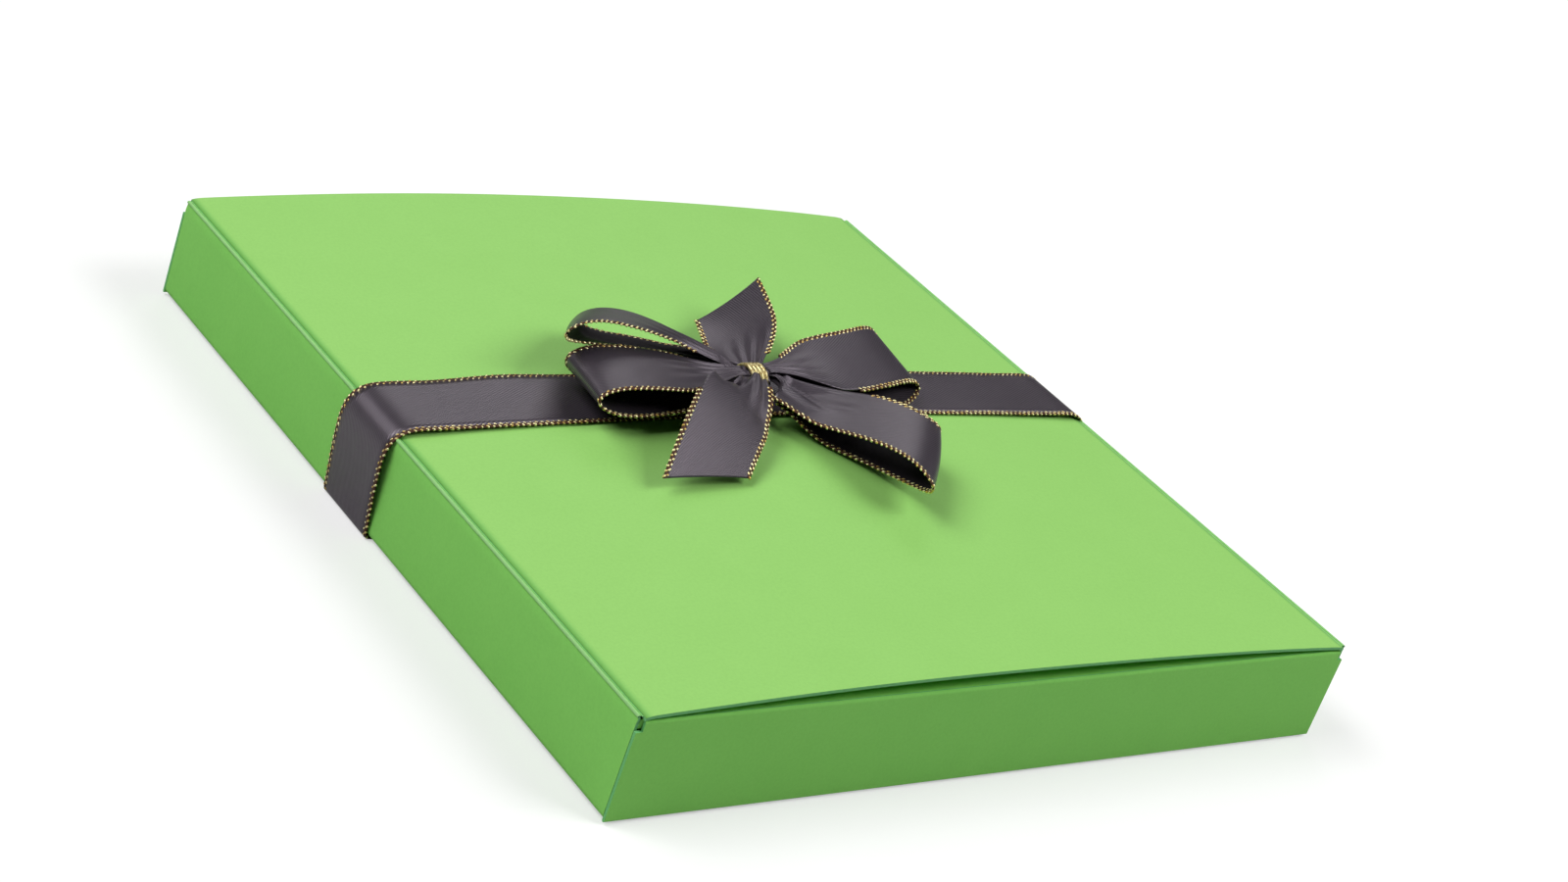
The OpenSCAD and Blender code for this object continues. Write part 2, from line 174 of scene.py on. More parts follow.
class NodeTree:
    """Short hand for wiring the shader nodes of a material or of the world.

    Attributes:
        MIX_SHARE: Number of a mix node's share input.
        MIX_COLOURS: Numbers of its two colour inputs.
        MIX_RESULT: Number of its colour output.
    """

    MIX_SHARE: ClassVar[int] = 0
    MIX_COLOURS: ClassVar[tuple[int, int]] = (6, 7)
    MIX_RESULT: ClassVar[int] = 2

    def __init__(self, owner: bpy.types.Material | bpy.types.World) -> None:
        """Starts with no nodes.

        Args:
            owner: Material or world whose nodes are wired.
        """
        self.owner = owner
        self.owner.use_nodes = True
        self.tree = self.owner.node_tree
        self.tree.nodes.clear()

    def add(self, kind: str, **settings: object) -> bpy.types.Node:
        """Adds a node.

        Args:
            kind: Node type without its ShaderNode prefix.
            settings: Node properties, or socket values when the name is a socket of the node.

        Returns:
            The new node.
        """
        node = self.tree.nodes.new("ShaderNode" + kind)
        for key, value in settings.items():
            if hasattr(node, key):
                setattr(node, key, value)
            else:
                node.inputs[key.replace("_", " ")].default_value = value
        return node

    def link(self, source: Socket, target: Socket) -> None:
        """Joins an output to an input."""
        self.tree.links.new(source, target)

    def feed(self, target: Socket, value: Socket | float | Colour) -> None:
        """Joins an output to an input, or sets the input to a plain value.

        Args:
            target: Input.
            value: Output of another node, or the plain value.
        """
        if isinstance(value, bpy.types.NodeSocket):
            self.link(value, target)
        else:
            target.default_value = value

    def place(self) -> Socket:
        """Object coordinates of the piece."""
        return self.add("TexCoord").outputs["Object"]

    def noise(self, place: Socket, **settings: float) -> Socket:
        """Noise over a piece.

        Args:
            place: Coordinates that the noise follows.
            settings: Socket values of the noise.

        Returns:
            The noise's value output.
        """
        node = self.add("TexNoise", **settings)
        self.link(place, node.inputs["Vector"])
        return node.outputs["Fac"]

    def ramp(self, source: Socket, stops: Stops) -> Socket:
        """Colour ramp driven by a value.

        Args:
            source: Value that drives the ramp.
            stops: Places and colours.

        Returns:
            The ramp's colour output.
        """
        node = self.add("ValToRGB")
        while len(node.color_ramp.elements) < len(stops):
            node.color_ramp.elements.new(0.5)
        for element, (place, colour) in zip(node.color_ramp.elements, stops):
            element.position = place
            element.color = colour
        self.link(source, node.inputs["Fac"])
        return node.outputs["Color"]

    def mix(
        self, share: Socket | float, a: Socket | Colour, b: Socket | Colour, blend: Blend = Blend.MIX
    ) -> Socket:
        """Second colour laid over the first.

        Args:
            share: Share of the second colour.
            a: First colour.
            b: Second colour.
            blend: How the second is laid over the first.

        Returns:
            The resulting colour output.
        """
        node = self.add("Mix", data_type="RGBA", blend_type=blend.value)
        self.feed(node.inputs[self.MIX_SHARE], share)
        for number, colour in zip(self.MIX_COLOURS, (a, b)):
            self.feed(node.inputs[number], colour)
        return node.outputs[self.MIX_RESULT]

    def math(self, operation: str, a: Socket | float, b: Socket | float = 0.0) -> Socket:
        """Arithmetic on two values.

        Args:
            operation: Blender's name of the operation.
            a: First value.
            b: Second value.

        Returns:
            The result output.
        """
        node = self.add("Math", operation=operation)
        for target, value in zip(node.inputs, (a, b)):
            self.feed(target, value)
        return node.outputs[0]

    def bump(self, height: Socket, strength: float, depth: float) -> Socket:
        """Fine relief.

        Args:
            height: Height of the relief.
            strength: Share of the relief.
            depth: Depth of the relief in millimetres.

        Returns:
            The bent normal's output.
        """
        node = self.add("Bump", Strength=strength, Distance=depth * MM)
        self.link(height, node.inputs["Height"])
        return node.outputs["Normal"]

    def surface(self, colour: Socket, **settings: float | Colour) -> bpy.types.Node:
        """Principled shader of a colour.

        Args:
            colour: Base colour.
            settings: Socket values of the shader.

        Returns:
            The shader node.
        """
        node = self.add("BsdfPrincipled", **settings)
        self.link(colour, node.inputs["Base Color"])
        return node

    def seen(self, otherwise: Socket, directly: Socket) -> Socket:
        """Shader that differs where the camera sees it directly.

        Args:
            otherwise: Shader for all other rays.
            directly: Shader that the camera sees.

        Returns:
            The picked shader's output.
        """
        pick = self.add("MixShader")
        self.link(self.add("LightPath").outputs["Is Camera Ray"], pick.inputs[0])
        self.link(otherwise, pick.inputs[1])
        self.link(directly, pick.inputs[2])
        return pick.outputs[0]

    def finish(self, shader: Socket) -> bpy.types.Material | bpy.types.World:
        """Joins the shader to the output.

        Args:
            shader: Shader of the whole surface.

        Returns:
            The finished material or world.
        """
        kind = "OutputWorld" if isinstance(self.owner, bpy.types.World) else "OutputMaterial"
        self.link(shader, self.add(kind).inputs["Surface"])
        return self.owner


def new_material(name: str) -> NodeTree:
    """Empty material of that name."""
    return NodeTree(bpy.data.materials.new(name))


@dataclass(frozen=True)
class CreaseTint:
    """Tint that comes in towards a long crease: painted shade on the top's shoulder, and the paler, bluer
    card of the side's bead.

    Attributes:
        axis: Axis along which the tint comes in.
        start: Distance from the part's origin at which it starts.
        stop: Distance at which it is full.
        stops: Shares of that way, each with the tint's linear colour.
    """

    axis: Axis
    start: float
    stop: float
    stops: Stops

    def colour(self, t: NodeTree, place: Socket) -> Socket:
        """Tint at a place of the piece.

        Args:
            t: Material that is being wired.
            place: Object coordinates.

        Returns:
            The tint's colour output.
        """
        split = t.add("SeparateXYZ")
        t.link(place, split.inputs[0])
        way = t.add("MapRange", From_Min=self.start * MM, From_Max=self.stop * MM)
        t.link(t.math("ABSOLUTE", split.outputs[self.axis.value]), way.inputs["Value"])
        return t.ramp(way.outputs[0], self.stops)


@dataclass(frozen=True)
class MottledFinish:
    """Two close colours mottled by a fine noise, for cut edges, bare thread and glue.

    Attributes:
        name: Material name.
        dark: Darker colour.
        light: Lighter colour.
        scale: Scale of the noise, to the metre.
        roughness: Roughness of the surface.
        metallic: Share of metal.
        detail: Detail of the noise.
    """

    name: str
    dark: Colour
    light: Colour
    scale: float
    roughness: float
    metallic: float = 0.0
    detail: float = 2.0

    def material(self) -> bpy.types.Material:
        """Mottled material.

        Returns:
            The material.
        """
        t = new_material(self.name)
        colour = t.mix(t.noise(t.place(), Scale=self.scale, Detail=self.detail), self.dark, self.light)
        return t.finish(t.surface(colour, Roughness=self.roughness, Metallic=self.metallic).outputs[0])


@dataclass(frozen=True)
class CardFinish:
    """Matte dyed card with faint clouds and a fine grain.

    Attributes:
        name: Start of the material's name.
        face: Colour of the card's faces.
        cloud: Colour of its lighter clouds.
        edge: Bluish colour of its cut edge.
        edge_limit: Share of the face axis in a normal, under which a face counts as cut edge.
        fleck: Tint of the grain's hollows.
        fleck_span: Values of the grain between which that tint fades.
        roughness: Roughness of the surface.
        gloss: Specular level of the surface.
        cloud_scale: Scale of the clouds, to the metre.
        cloud_share: Greatest share of the cloud colour.
        grain_mm: Size of the grain.
        relief: Share of the grain's relief.
        relief_mm: Depth of the grain's relief.
        tint: Tint towards a crease, or none; on the top it is painted shade.
    """

    name: str = "card"
    face: Colour = srgb(133, 208, 98)
    cloud: Colour = srgb(140, 213, 104)
    edge: Colour = srgb(112, 188, 116)
    edge_limit: float = 0.2
    fleck: Colour = (0.94, 0.955, 0.93, 1.0)
    fleck_span: tuple[float, float] = (0.3, 0.62)
    roughness: float = 0.62
    gloss: float = 0.12
    cloud_scale: float = 90.0
    cloud_share: float = 0.9
    grain_mm: float = 0.55
    relief: float = 0.12
    relief_mm: float = 0.05
    tint: CreaseTint | None = None

    def material(self, axis: Axis | None = None) -> bpy.types.Material:
        """Card material.

        Args:
            axis: Axis square to the panel's faces; other faces show the cut edge. None leaves the edge out.

        Returns:
            The material.
        """
        t = new_material(self.name if axis is None else f"{self.name}_{axis.name.lower()}")
        place = t.place()
        cloud = t.noise(place, Scale=self.cloud_scale, Detail=5.0, Roughness=0.6)
        grain = t.noise(place, Scale=1.0 / (self.grain_mm * MM), Detail=3.0, Roughness=0.7)
        colour = t.mix(t.math("MULTIPLY", cloud, self.cloud_share), self.face, self.cloud)
        flecks = t.ramp(grain, tuple(zip(self.fleck_span, (self.fleck, WHITE))))
        colour = t.mix(1.0, colour, flecks, Blend.MULTIPLY)
        # The crease tint multiplies the colour: painted shade on the top's shoulder, the bead's own colour
        # on the sides.
        if self.tint is not None:
            colour = t.mix(1.0, colour, self.tint.colour(t, place), Blend.MULTIPLY)
        if axis is not None:
            split = t.add("SeparateXYZ")
            t.link(t.add("TexCoord").outputs["Normal"], split.inputs[0])
            flatness = t.math("ABSOLUTE", split.outputs[axis.value])
            colour = t.mix(t.math("LESS_THAN", flatness, self.edge_limit), colour, self.edge)
        shader = t.surface(colour, Roughness=self.roughness, Specular_IOR_Level=self.gloss)
        t.link(t.bump(grain, self.relief, self.relief_mm), shader.inputs["Normal"])
        return t.finish(shader.outputs[0])


@dataclass(frozen=True)
class SatinFinish:
    """Dark grey-violet satin with fine slanting twill lines and a broad sheen.

    Attributes:
        WAVE_PITCH: Pitch of the wave texture's bands at scale 1.
        name: Material name.
        light: Lighter colour of the cloth.
        deep: Deeper colour of the cloth.
        sheen: Tint of the sheen.
        cloud_scale: Scale of the change between the two colours, to the millimetre.
        twill_mm: Pitch of the twill lines.
        twill_turn: Slant of the twill lines, in degrees.
        twill_share: Share of the lines' tint.
        line_stops: Tints between the lines and on them.
        relief: Share of the lines' relief.
        relief_mm: Depth of the lines' relief.
        roughness: Roughness of the surface.
        stretch: Stretch of the sheen along the ribbon.
        gloss: Specular level of the surface.
        refraction: Refractive index of the threads.
    """

    WAVE_PITCH: ClassVar[float] = 0.314

    name: str = "satin"
    light: Colour = srgb(60, 54, 61)
    deep: Colour = srgb(49, 45, 51)
    sheen: Colour = srgb(236, 222, 236)
    cloud_scale: float = 0.35
    twill_mm: float = 0.42
    twill_turn: float = 63.0
    twill_share: float = 0.85
    line_stops: Stops = ((0.0, (0.55, 0.55, 0.57, 1.0)), (0.7, (1.16, 1.15, 1.16, 1.0)))
    relief: float = 0.5
    relief_mm: float = 0.06
    roughness: float = 0.35
    stretch: float = 0.45
    gloss: float = 1.0
    refraction: float = 1.58

    def material(self) -> bpy.types.Material:
        """Satin material, for a UV map in millimetres along and across the ribbon.

        Returns:
            The material.
        """
        t = new_material(self.name)
        uv = t.add("UVMap", uv_map=RIBBON_MAP).outputs[0]
        turn = t.add("Mapping", Rotation=(0.0, 0.0, math.radians(self.twill_turn)))
        t.link(uv, turn.inputs["Vector"])
        twill = t.add("TexWave", Scale=self.WAVE_PITCH / self.twill_mm, Distortion=0.5, Detail=1.0)
        t.link(turn.outputs[0], twill.inputs["Vector"])
        cloth = t.mix(t.noise(uv, Scale=self.cloud_scale, Detail=3.0), self.deep, self.light)
        lines = t.ramp(twill.outputs["Fac"], self.line_stops)
        shader = t.surface(
            t.mix(self.twill_share, cloth, lines, Blend.MULTIPLY),
            Roughness=self.roughness,
            Anisotropic=self.stretch,
            Specular_IOR_Level=self.gloss,
            IOR=self.refraction,
            Specular_Tint=self.sheen,
        )
        t.link(t.bump(twill.outputs["Fac"], self.relief, self.relief_mm), shader.inputs["Normal"])
        along = t.add("Tangent", direction_type="UV_MAP", uv_map=RIBBON_MAP)
        t.link(along.outputs[0], shader.inputs["Tangent"])
        return t.finish(shader.outputs[0])


@dataclass(frozen=True)
class GoldFinish:
    """Metallic gold thread, with pale flecks painted in as glints.

    Attributes:
        name: Material name.
        bright: Colour of the pale flecks, which are painted glints.
        deep: Colour between them.
        fleck_span: Values of the flecks' noise between which the colours change.
        glint_fleck_mm: Size of the flecks.
        roughness: Roughness of the surface.
        metallic: Share of metal.
    """

    name: str = "gold"
    bright: Colour = srgb(255, 245, 186)
    deep: Colour = srgb(214, 178, 92)
    fleck_span: tuple[float, float] = (0.38, 0.54)
    glint_fleck_mm: float = 0.8
    roughness: float = 0.36
    metallic: float = 0.65

    def material(self) -> bpy.types.Material:
        """Gold thread material.

        Returns:
            The material.
        """
        t = new_material(self.name)
        # Painted glints: random pale flecks at about a stitch's size stand in for sparkle on the metal.
        fleck = t.noise(t.place(), Scale=1.0 / (self.glint_fleck_mm * MM), Detail=2.0)
        colour = t.ramp(fleck, tuple(zip(self.fleck_span, (self.deep, self.bright))))
        return t.finish(t.surface(colour, Roughness=self.roughness, Metallic=self.metallic).outputs[0])


@dataclass(frozen=True)
class Finishes:
    """One material of each finish, shared by all pieces.

    Attributes:
        card: Plain card.
        card_top: Card of the top, in a paler green painted for its brighter light, with painted shade
            towards its long creases.
        card_side: Card of the sides, tinted at the bead.
        card_edge: Cut edge of the bent card sheets.
        card_faces: Card with cut edges, for flat panels square to an axis.
        satin: Outer face of the ribbon.
        satin_cut: Heat-sealed end of the ribbon, near black partly as painted shadow under the cut end.
        satin_back: Dull inner face of the ribbon, darker than the satin partly as painted shade inside the
            loops.
        gold: Gold stitches.
        gold_core: Brown core under the stitches.
        gold_cord: Cord of the binding.
        glue: Glue dot.
    """

    card: bpy.types.Material
    card_top: bpy.types.Material
    card_side: bpy.types.Material
    card_edge: bpy.types.Material
    card_faces: dict[Axis, bpy.types.Material]
    satin: bpy.types.Material
    satin_cut: bpy.types.Material
    satin_back: bpy.types.Material
    gold: bpy.types.Material
    gold_core: bpy.types.Material
    gold_cord: bpy.types.Material
    glue: bpy.types.Material

    @classmethod
    def make(cls, carton: "Carton") -> "Finishes":
        """Makes every material.

        Args:
            carton: Box whose creases are tinted.

        Returns:
            The materials.
        """
        groove = carton.half - carton.groove_x
        # Painted shade: the top's green darkens over its shoulder towards each long crease, where the bend
        # turns away from the light.
        shoulder = CreaseTint(Axis.X, groove - carton.shoulder_shade_w, groove, (
            (0.0, WHITE),
            (0.36, (0.86, 0.93, 0.9, 1.0)),
            (0.66, (0.64, 0.8, 0.7, 1.0)),
            (1.0, (0.4, 0.57, 0.38, 1.0)),
        ))
        low, high = (carton.bead_middle - depth for depth in carton.bead_tint)
        bead = CreaseTint(Axis.Z, low, high, ((0.0, WHITE), (1.0, (1.22, 0.94, 1.7, 1.0))))
        card = CardFinish()
        # Painted light: the top's paler, less saturated green stands in for how the brightly lit top looks
        # beside the deeper green of the sides.
        top = CardFinish("card_top", srgb(146, 204, 105), srgb(152, 209, 111), gloss=0.32, tint=shoulder)
        side = CardFinish("card_side", tint=bead)
        edge = MottledFinish(
            "card_cut_edge", shade(card.edge, share=0.8), card.edge, scale=1800.0, roughness=0.8)
        satin = SatinFinish()
        # The sealed end's near black is partly the melted edge and partly painted shadow under the cut end.
        cut = MottledFinish("satin_cut", srgb(22, 22, 26), satin.deep, scale=2200.0, roughness=0.5)
        # The dull back is darker than the satin: partly the back's own dull cloth, partly painted shade
        # inside the loops.
        back = SatinFinish("satin_back", srgb(48, 43, 48), srgb(40, 36, 41), roughness=0.6, gloss=0.2)
        core = MottledFinish(
            "gold_core", srgb(40, 18, 10), srgb(92, 52, 28), scale=2500.0, roughness=0.6, metallic=0.3)
        cord = GoldFinish("gold_cord", srgb(226, 212, 156), srgb(164, 140, 84), glint_fleck_mm=0.5)
        glue = MottledFinish(
            "glue", srgb(214, 214, 204), srgb(236, 236, 230), scale=400.0, roughness=0.25, detail=3.0)
        return cls(
            card=card.material(),
            card_top=top.material(),
            card_side=side.material(),
            card_edge=edge.material(),
            card_faces={axis: card.material(axis) for axis in (Axis.Y, Axis.Z)},
            satin=satin.material(),
            satin_cut=cut.material(),
            satin_back=back.material(),
            gold=GoldFinish().material(),
            gold_core=core.material(),
            gold_cord=cord.material(),
            glue=glue.material(),
        )


def make_mesh(
    name: str,
    points_mm: np.ndarray,
    faces: Sequence[Face],
    face_slots: Sequence[int] | None = None,
    uv_mm: np.ndarray | None = None,
) -> bpy.types.Object:
    """New smooth mesh object in the part's frame, still without materials.

    Args:
        name: Object name.
        points_mm: Points in millimetres, one row each.
        faces: Point numbers of each face.
        face_slots: Number of each face's material.
        uv_mm: UV place of each point, for the map that the satin reads.

    Returns:
        The object, linked to the scene.
    """
    mesh = bpy.data.meshes.new(name)
    mesh.from_pydata((points_mm * MM).tolist(), [], faces)
    if face_slots is not None:
        mesh.polygons.foreach_set("material_index", np.asarray(face_slots, np.int32))
    if uv_mm is not None:
        layer = mesh.uv_layers.new(name=RIBBON_MAP)
        corners = np.empty(len(mesh.loops), np.int32)
        mesh.loops.foreach_get("vertex_index", corners)
        layer.data.foreach_set("uv", uv_mm.astype(np.float32)[corners].ravel())
    mesh.polygons.foreach_set("use_smooth", np.ones(len(mesh.polygons), bool))
    mesh.update()
    obj = bpy.data.objects.new(name, mesh)
    bpy.context.scene.collection.objects.link(obj)
    return obj


def sharp_by_angle(piece: bpy.types.Object, degrees: float) -> None:
    """Marks the edges sharper than an angle, so that flat faces meet in a clean line."""
    piece.data.set_sharp_from_angle(angle=math.radians(degrees))


def put_on(piece: bpy.types.Object, *materials: bpy.types.Material) -> None:
    """Adds materials to a new piece, in the order of its face slots."""
    for material in materials:
        piece.data.materials.append(material)


def set_finish(node: str, material: bpy.types.Material) -> None:
    """Puts one material on a CAD node.

    Args:
        node: Node name.
        material: Finish.
    """
    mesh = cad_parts[node].data
    mesh.materials.clear()
    mesh.materials.append(material)
    LOG.info("%s is finished with %s", node, material.name)


def attach(piece: bpy.types.Object, body: Body, node: str | None = None) -> None:
    """Gives a piece its body, and lets it stand for a CAD node.

    Args:
        piece: New piece.
        body: Body that the piece rides on.
        node: CAD node that the piece replaces, or none.
    """
    if node is not None:
        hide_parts(node)
    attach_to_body(piece, body.value)


def tube_faces(rows: int, around: int, first: int = 0) -> list[Face]:
    """Faces of a tube whose points go round it row by row.

    Args:
        rows: Number of rings.
        around: Points of each ring.
        first: Number of the first point.

    Returns:
        The faces as point numbers.
    """
    faces = []
    for i in range(rows - 1):
        for k in range(around):
            a, b = first + i * around + k, first + i * around + (k + 1) % around
            faces.append((a, a + around, b + around, b))
    return faces


def turned_over(faces: Sequence[Face]) -> list[Face]:
    """Faces seen from their other side, each from the same first point."""
    return [face[:1] + face[:0:-1] for face in faces]


@dataclass
class SolidSheet:
    """Thin solid between an upper and a lower grid of points, with its rims.

    Attributes:
        upper: Grid of points of the upper face, rows by columns by 3.
        lower: Grid of points of the lower face, of the same shape.
        closed: True if the last row meets the first.
    """

    upper: np.ndarray
    lower: np.ndarray
    closed: bool = False

    def parts(self) -> tuple[np.ndarray, list[Face], list[FaceKind]]:
        """Mesh of the solid.

        Returns:
            Points in one array, faces as point numbers, and the kind of each face.
        """
        rows, cols, _ = self.upper.shape
        points = np.concatenate([self.upper.reshape(-1, 3), self.lower.reshape(-1, 3)])
        base = rows * cols
        faces, kinds = [], []
        for i in range(rows if self.closed else rows - 1):
            j = (i + 1) % rows
            for k in range(cols - 1):
                a, b, c, d = i * cols + k, i * cols + k + 1, j * cols + k + 1, j * cols + k
                faces += [(a, b, c, d), (base + d, base + c, base + b, base + a)]
                kinds += [FaceKind.UPPER, FaceKind.LOWER]
            for k, turned in ((0, False), (cols - 1, True)):
                a, d = i * cols + k, j * cols + k
                rim = (a, d, base + d, base + a)
                faces.append(rim[::-1] if turned else rim)
                kinds.append(FaceKind.RIM)
        if not self.closed:
            for i, turned in ((0, False), (rows - 1, True)):
                for a in range(i * cols, i * cols + cols - 1):
                    rim = (a, a + 1, base + a + 1, base + a)
                    faces.append(rim[::-1] if turned else rim)
                    kinds.append(FaceKind.RIM)
        return points, faces, kinds


@dataclass
class Carton:
    """Creased card carton: its skin of bent sheets, and the finish of its flat panels.

    Attributes:
        EAR_FACES: Faces of a block whose lower four corners come first.
        width: Width over the side panels.
        length: Length of the top panel.
        height: Height of the side creases above the bottom panel.
        base: Height of the bottom panel above the floor, where the ribbon lifts it.
        card: Thickness of the card.
        crease_r: Bend of the lower left crease.
        rise_near: Rise of the top's middle at the near end.
        rise_middle: Rise of the top's middle half way.
        rise_far: Rise of the top's middle at the far end.
        arch_power: Power of the top's arch across the box.
        wave: Height of the top's faint waves.
        wave_x: Length of a wave's radian across the box.
        wave_y: Length of a wave's radian along the box.
        wave_fade: Distance from the creases over which the waves come in.
        groove_x: Distance of the crease's groove from the side.
        groove_depth: Depth of that groove.
        shoulder_w: Width of the top's bent shoulder beside it.
        shoulder_shade_w: Width of the painted shade on the top's shoulder.
        side_cut: Height of the right sheet's cut lower edge, as a share of the crease's bend.
        flat_low: Distance of the side's flat face above its lower bend.
        flat_high: Distance of the side's flat face below the crease.
        bead: How far the crease's bead stands out from the side.
        bead_r: Half of the bead's width.
        bead_low: Depth of the bead's middle below the groove.
        bead_flat: Height of the bead as a share of its width.
        bead_arc: Angles at which the bead starts and ends.
        bead_tint: Depths below the bead's middle between which its tint comes in.
        groove_line: Last points of the side's line, as distance beyond the groove and depth below it.
        end_inset: Distance of the side sheets' ends from the top's ends.
        ear_l: Length of the card that turns in at the end of a side.
        ear_low: Height at which that card starts.
        ear_high: Distance of its upper edge below the crease.
        ear_lap: How far it runs into the side.
        top_sharp: Angle above which the top's edges are sharp.
        side_sharp: Angle above which a side's edges are sharp.
        rows: Rows of points along the box.
        top_points: Points across the top between its shoulders.
        shoulder_points: Points across a shoulder.
        bend_points: Points round the lower bend.
        side_points: Points up a side's flat face.
        bead_points: Points round the bead.
        pieces: Sheets, once they are built.
    """

    EAR_FACES: ClassVar[tuple[Face, ...]] = (
        (0, 1, 2, 3), (7, 6, 5, 4), (0, 4, 5, 1), (1, 5, 6, 2), (2, 6, 7, 3), (3, 7, 4, 0))

    width: float = 150.0
    length: float = 155.0
    height: float = 18.6
    base: float = 0.47
    card: float = 0.55
    crease_r: float = 1.2
    rise_near: float = 1.95
    rise_middle: float = 2.2
    rise_far: float = 2.75
    arch_power: float = 2.15
    wave: float = 0.05
    wave_x: float = 17.0
    wave_y: float = 29.0
    wave_fade: float = 20.0
    groove_x: float = 0.95
    groove_depth: float = 0.3
    shoulder_w: float = 2.6
    shoulder_shade_w: float = 1.35
    side_cut: float = 0.7
    flat_low: float = 0.2
    flat_high: float = 1.7
    bead: float = 0.08
    bead_r: float = 0.32
    bead_low: float = 0.12
    bead_flat: float = 0.85
    bead_arc: tuple[float, float] = (-75.0, 95.0)
    bead_tint: tuple[float, float] = (0.25, 0.05)
    groove_line: tuple[tuple[float, float], ...] = ((-0.12, 0.06), (0.05, 0.12))
    end_inset: float = 0.65
    ear_l: float = 1.5
    ear_low: float = 16.6
    ear_high: float = 0.5
    ear_lap: float = 0.02
    top_sharp: float = 50.0
    side_sharp: float = 55.0
    rows: int = 80
    top_points: int = 61
    shoulder_points: int = 9
    bend_points: int = 9
    side_points: int = 14
    bead_points: int = 12
    pieces: list[bpy.types.Object] = field(default_factory=list)

    @property
    def half(self) -> float:
        """Half of the width."""
        return self.width / 2

    @property
    def top(self) -> float:
        """Height of the side creases."""
        return self.base + self.height

    @property
    def bead_middle(self) -> float:
        """Height of the bead's middle."""
        return self.top - self.groove_depth - self.bead_low

    def rise(self, y: np.ndarray) -> np.ndarray:
        """Rise of the top's middle at places along the box.

        Args:
            y: Places along the box.

        Returns:
            Rises in millimetres.
        """
        v = y / (self.length / 2)
        slope = (self.rise_far - self.rise_near) / 2
        curve = (self.rise_far + self.rise_near) / 2 - self.rise_middle
        return self.rise_middle + slope * v + curve * v * v

    def top_height(self, x: np.ndarray, y: np.ndarray) -> np.ndarray:
        """Height of the top's outer face, with its creased shoulders.

        Args:
            x: Places across the box.
            y: Places along the box.

        Returns:
            Heights in millimetres.
        """
        reach = self.half - self.groove_x
        inside = reach - np.abs(x)
        arch = 1.0 - np.clip(np.abs(x) / reach, 0, 1) ** self.arch_power
        fall = 1.0 - np.clip(inside / self.shoulder_w, 0, 1)
        dip = self.groove_depth * (1.0 - np.sqrt(1.0 - fall ** 2))
        wave = self.wave * np.sin(x / self.wave_x + y / self.wave_y) * smooth(inside / self.wave_fade)
        return self.top + self.rise(y) * arch - dip + wave

    def top_sheet(self) -> bpy.types.Object:
        """Bowed top, with a soft shoulder at each long crease.

        Returns:
            The sheet, which stands for the CAD top panel.
        """
        reach = self.half - self.groove_x
        turn = np.linspace(0, math.pi / 2, self.shoulder_points)[:-1]
        shoulder = self.shoulder_w * (1.0 - np.cos(turn))
        middle = np.linspace(-reach + self.shoulder_w, reach - self.shoulder_w, self.top_points)
        across = np.concatenate([-reach + shoulder, middle, (reach - shoulder)[::-1]])
        along = np.linspace(-self.length / 2, self.length / 2, self.rows)
        y, x = np.meshgrid(along, across, indexing="ij")
        upper = np.stack([x, y, self.top_height(x, y)], -1)
        sheet = make_mesh("top_sheet", *SolidSheet(upper, upper - np.array([0, 0, self.card])).parts())
        sharp_by_angle(sheet, self.top_sharp)
        attach(sheet, Body.SLEEVE, "top_panel")
        return sheet

    def side_profile(self, low_bend: bool) -> np.ndarray:
        """Outer line of a side sheet, from its lower edge up to the groove of the long crease.

        Args:
            low_bend: True for a sheet that bends into the bottom panel, False for one with a cut lower edge.

        Returns:
            Points as distance in from the side's face and height.
        """
        r = self.crease_r
        points = []
        if low_bend:
            for a in np.linspace(0, math.pi / 2, self.bend_points):
                points.append((r - r * math.sin(a), self.base + r - r * math.cos(a)))
        else:
            points.append((0.0, self.base + self.side_cut * r))
        flat = np.linspace(self.base + r + self.flat_low, self.top - self.flat_high, self.side_points)
        points += [(0.0, z) for z in flat]
        for a in np.linspace(*np.radians(self.bead_arc), self.bead_points):
            x = self.bead_r - self.bead - self.bead_r * math.cos(a)
            points.append((x, self.bead_middle + self.bead_flat * self.bead_r * math.sin(a)))
        groove = self.top - self.groove_depth
        points += [(self.groove_x + beyond, groove - depth) for beyond, depth in self.groove_line]
        return np.array(points)

    def ear(self, side: Side, end: End) -> np.ndarray:
        """Corners of the card that turns in at the end of a side's crease, above the dust flap.

        Args:
            side: Side of the box.
            end: End of the box.

        Returns:
            Eight corners, lower four first.
        """
        y = self.length / 2 - self.end_inset
        x = self.half - self.card
        outer, inner = x + self.ear_lap, x - self.ear_l
        plan = [(outer, y), (outer, y - self.card), (inner, y - self.card), (inner, y)]
        if side * end > 0:
            plan = plan[::-1]
        heights = (self.ear_low, self.top - self.ear_high)
        return np.array([(side * px, end * py, z) for z in heights for px, py in plan])

    def side_sheet(self, side: Side) -> bpy.types.Object:
        """Side sheet with a beaded upper crease.

        Args:
            side: Side of the box.

        Returns:
            The sheet, which stands for the CAD side panel.
        """
        line = self.side_profile(low_bend=side is Side.LEFT)
        ahead = unit(np.gradient(line, axis=0))
        inner = line + np.stack([ahead[:, 1], -ahead[:, 0]], -1) * self.card
        above_bend = line[:, 1] > self.base + self.crease_r
        inner[:, 0] = np.maximum(inner[:, 0], np.where(above_bend, self.card, inner[:, 0]))
        end = self.length / 2 - self.end_inset
        along = np.linspace(-end, end, self.rows)[:, None]

        def drawn_out(profile: np.ndarray) -> np.ndarray:
            """Profile drawn out along the box."""
            x = side * (self.half - profile[:, 0])
            return np.stack(np.broadcast_arrays(x, along, profile[:, 1]), -1)

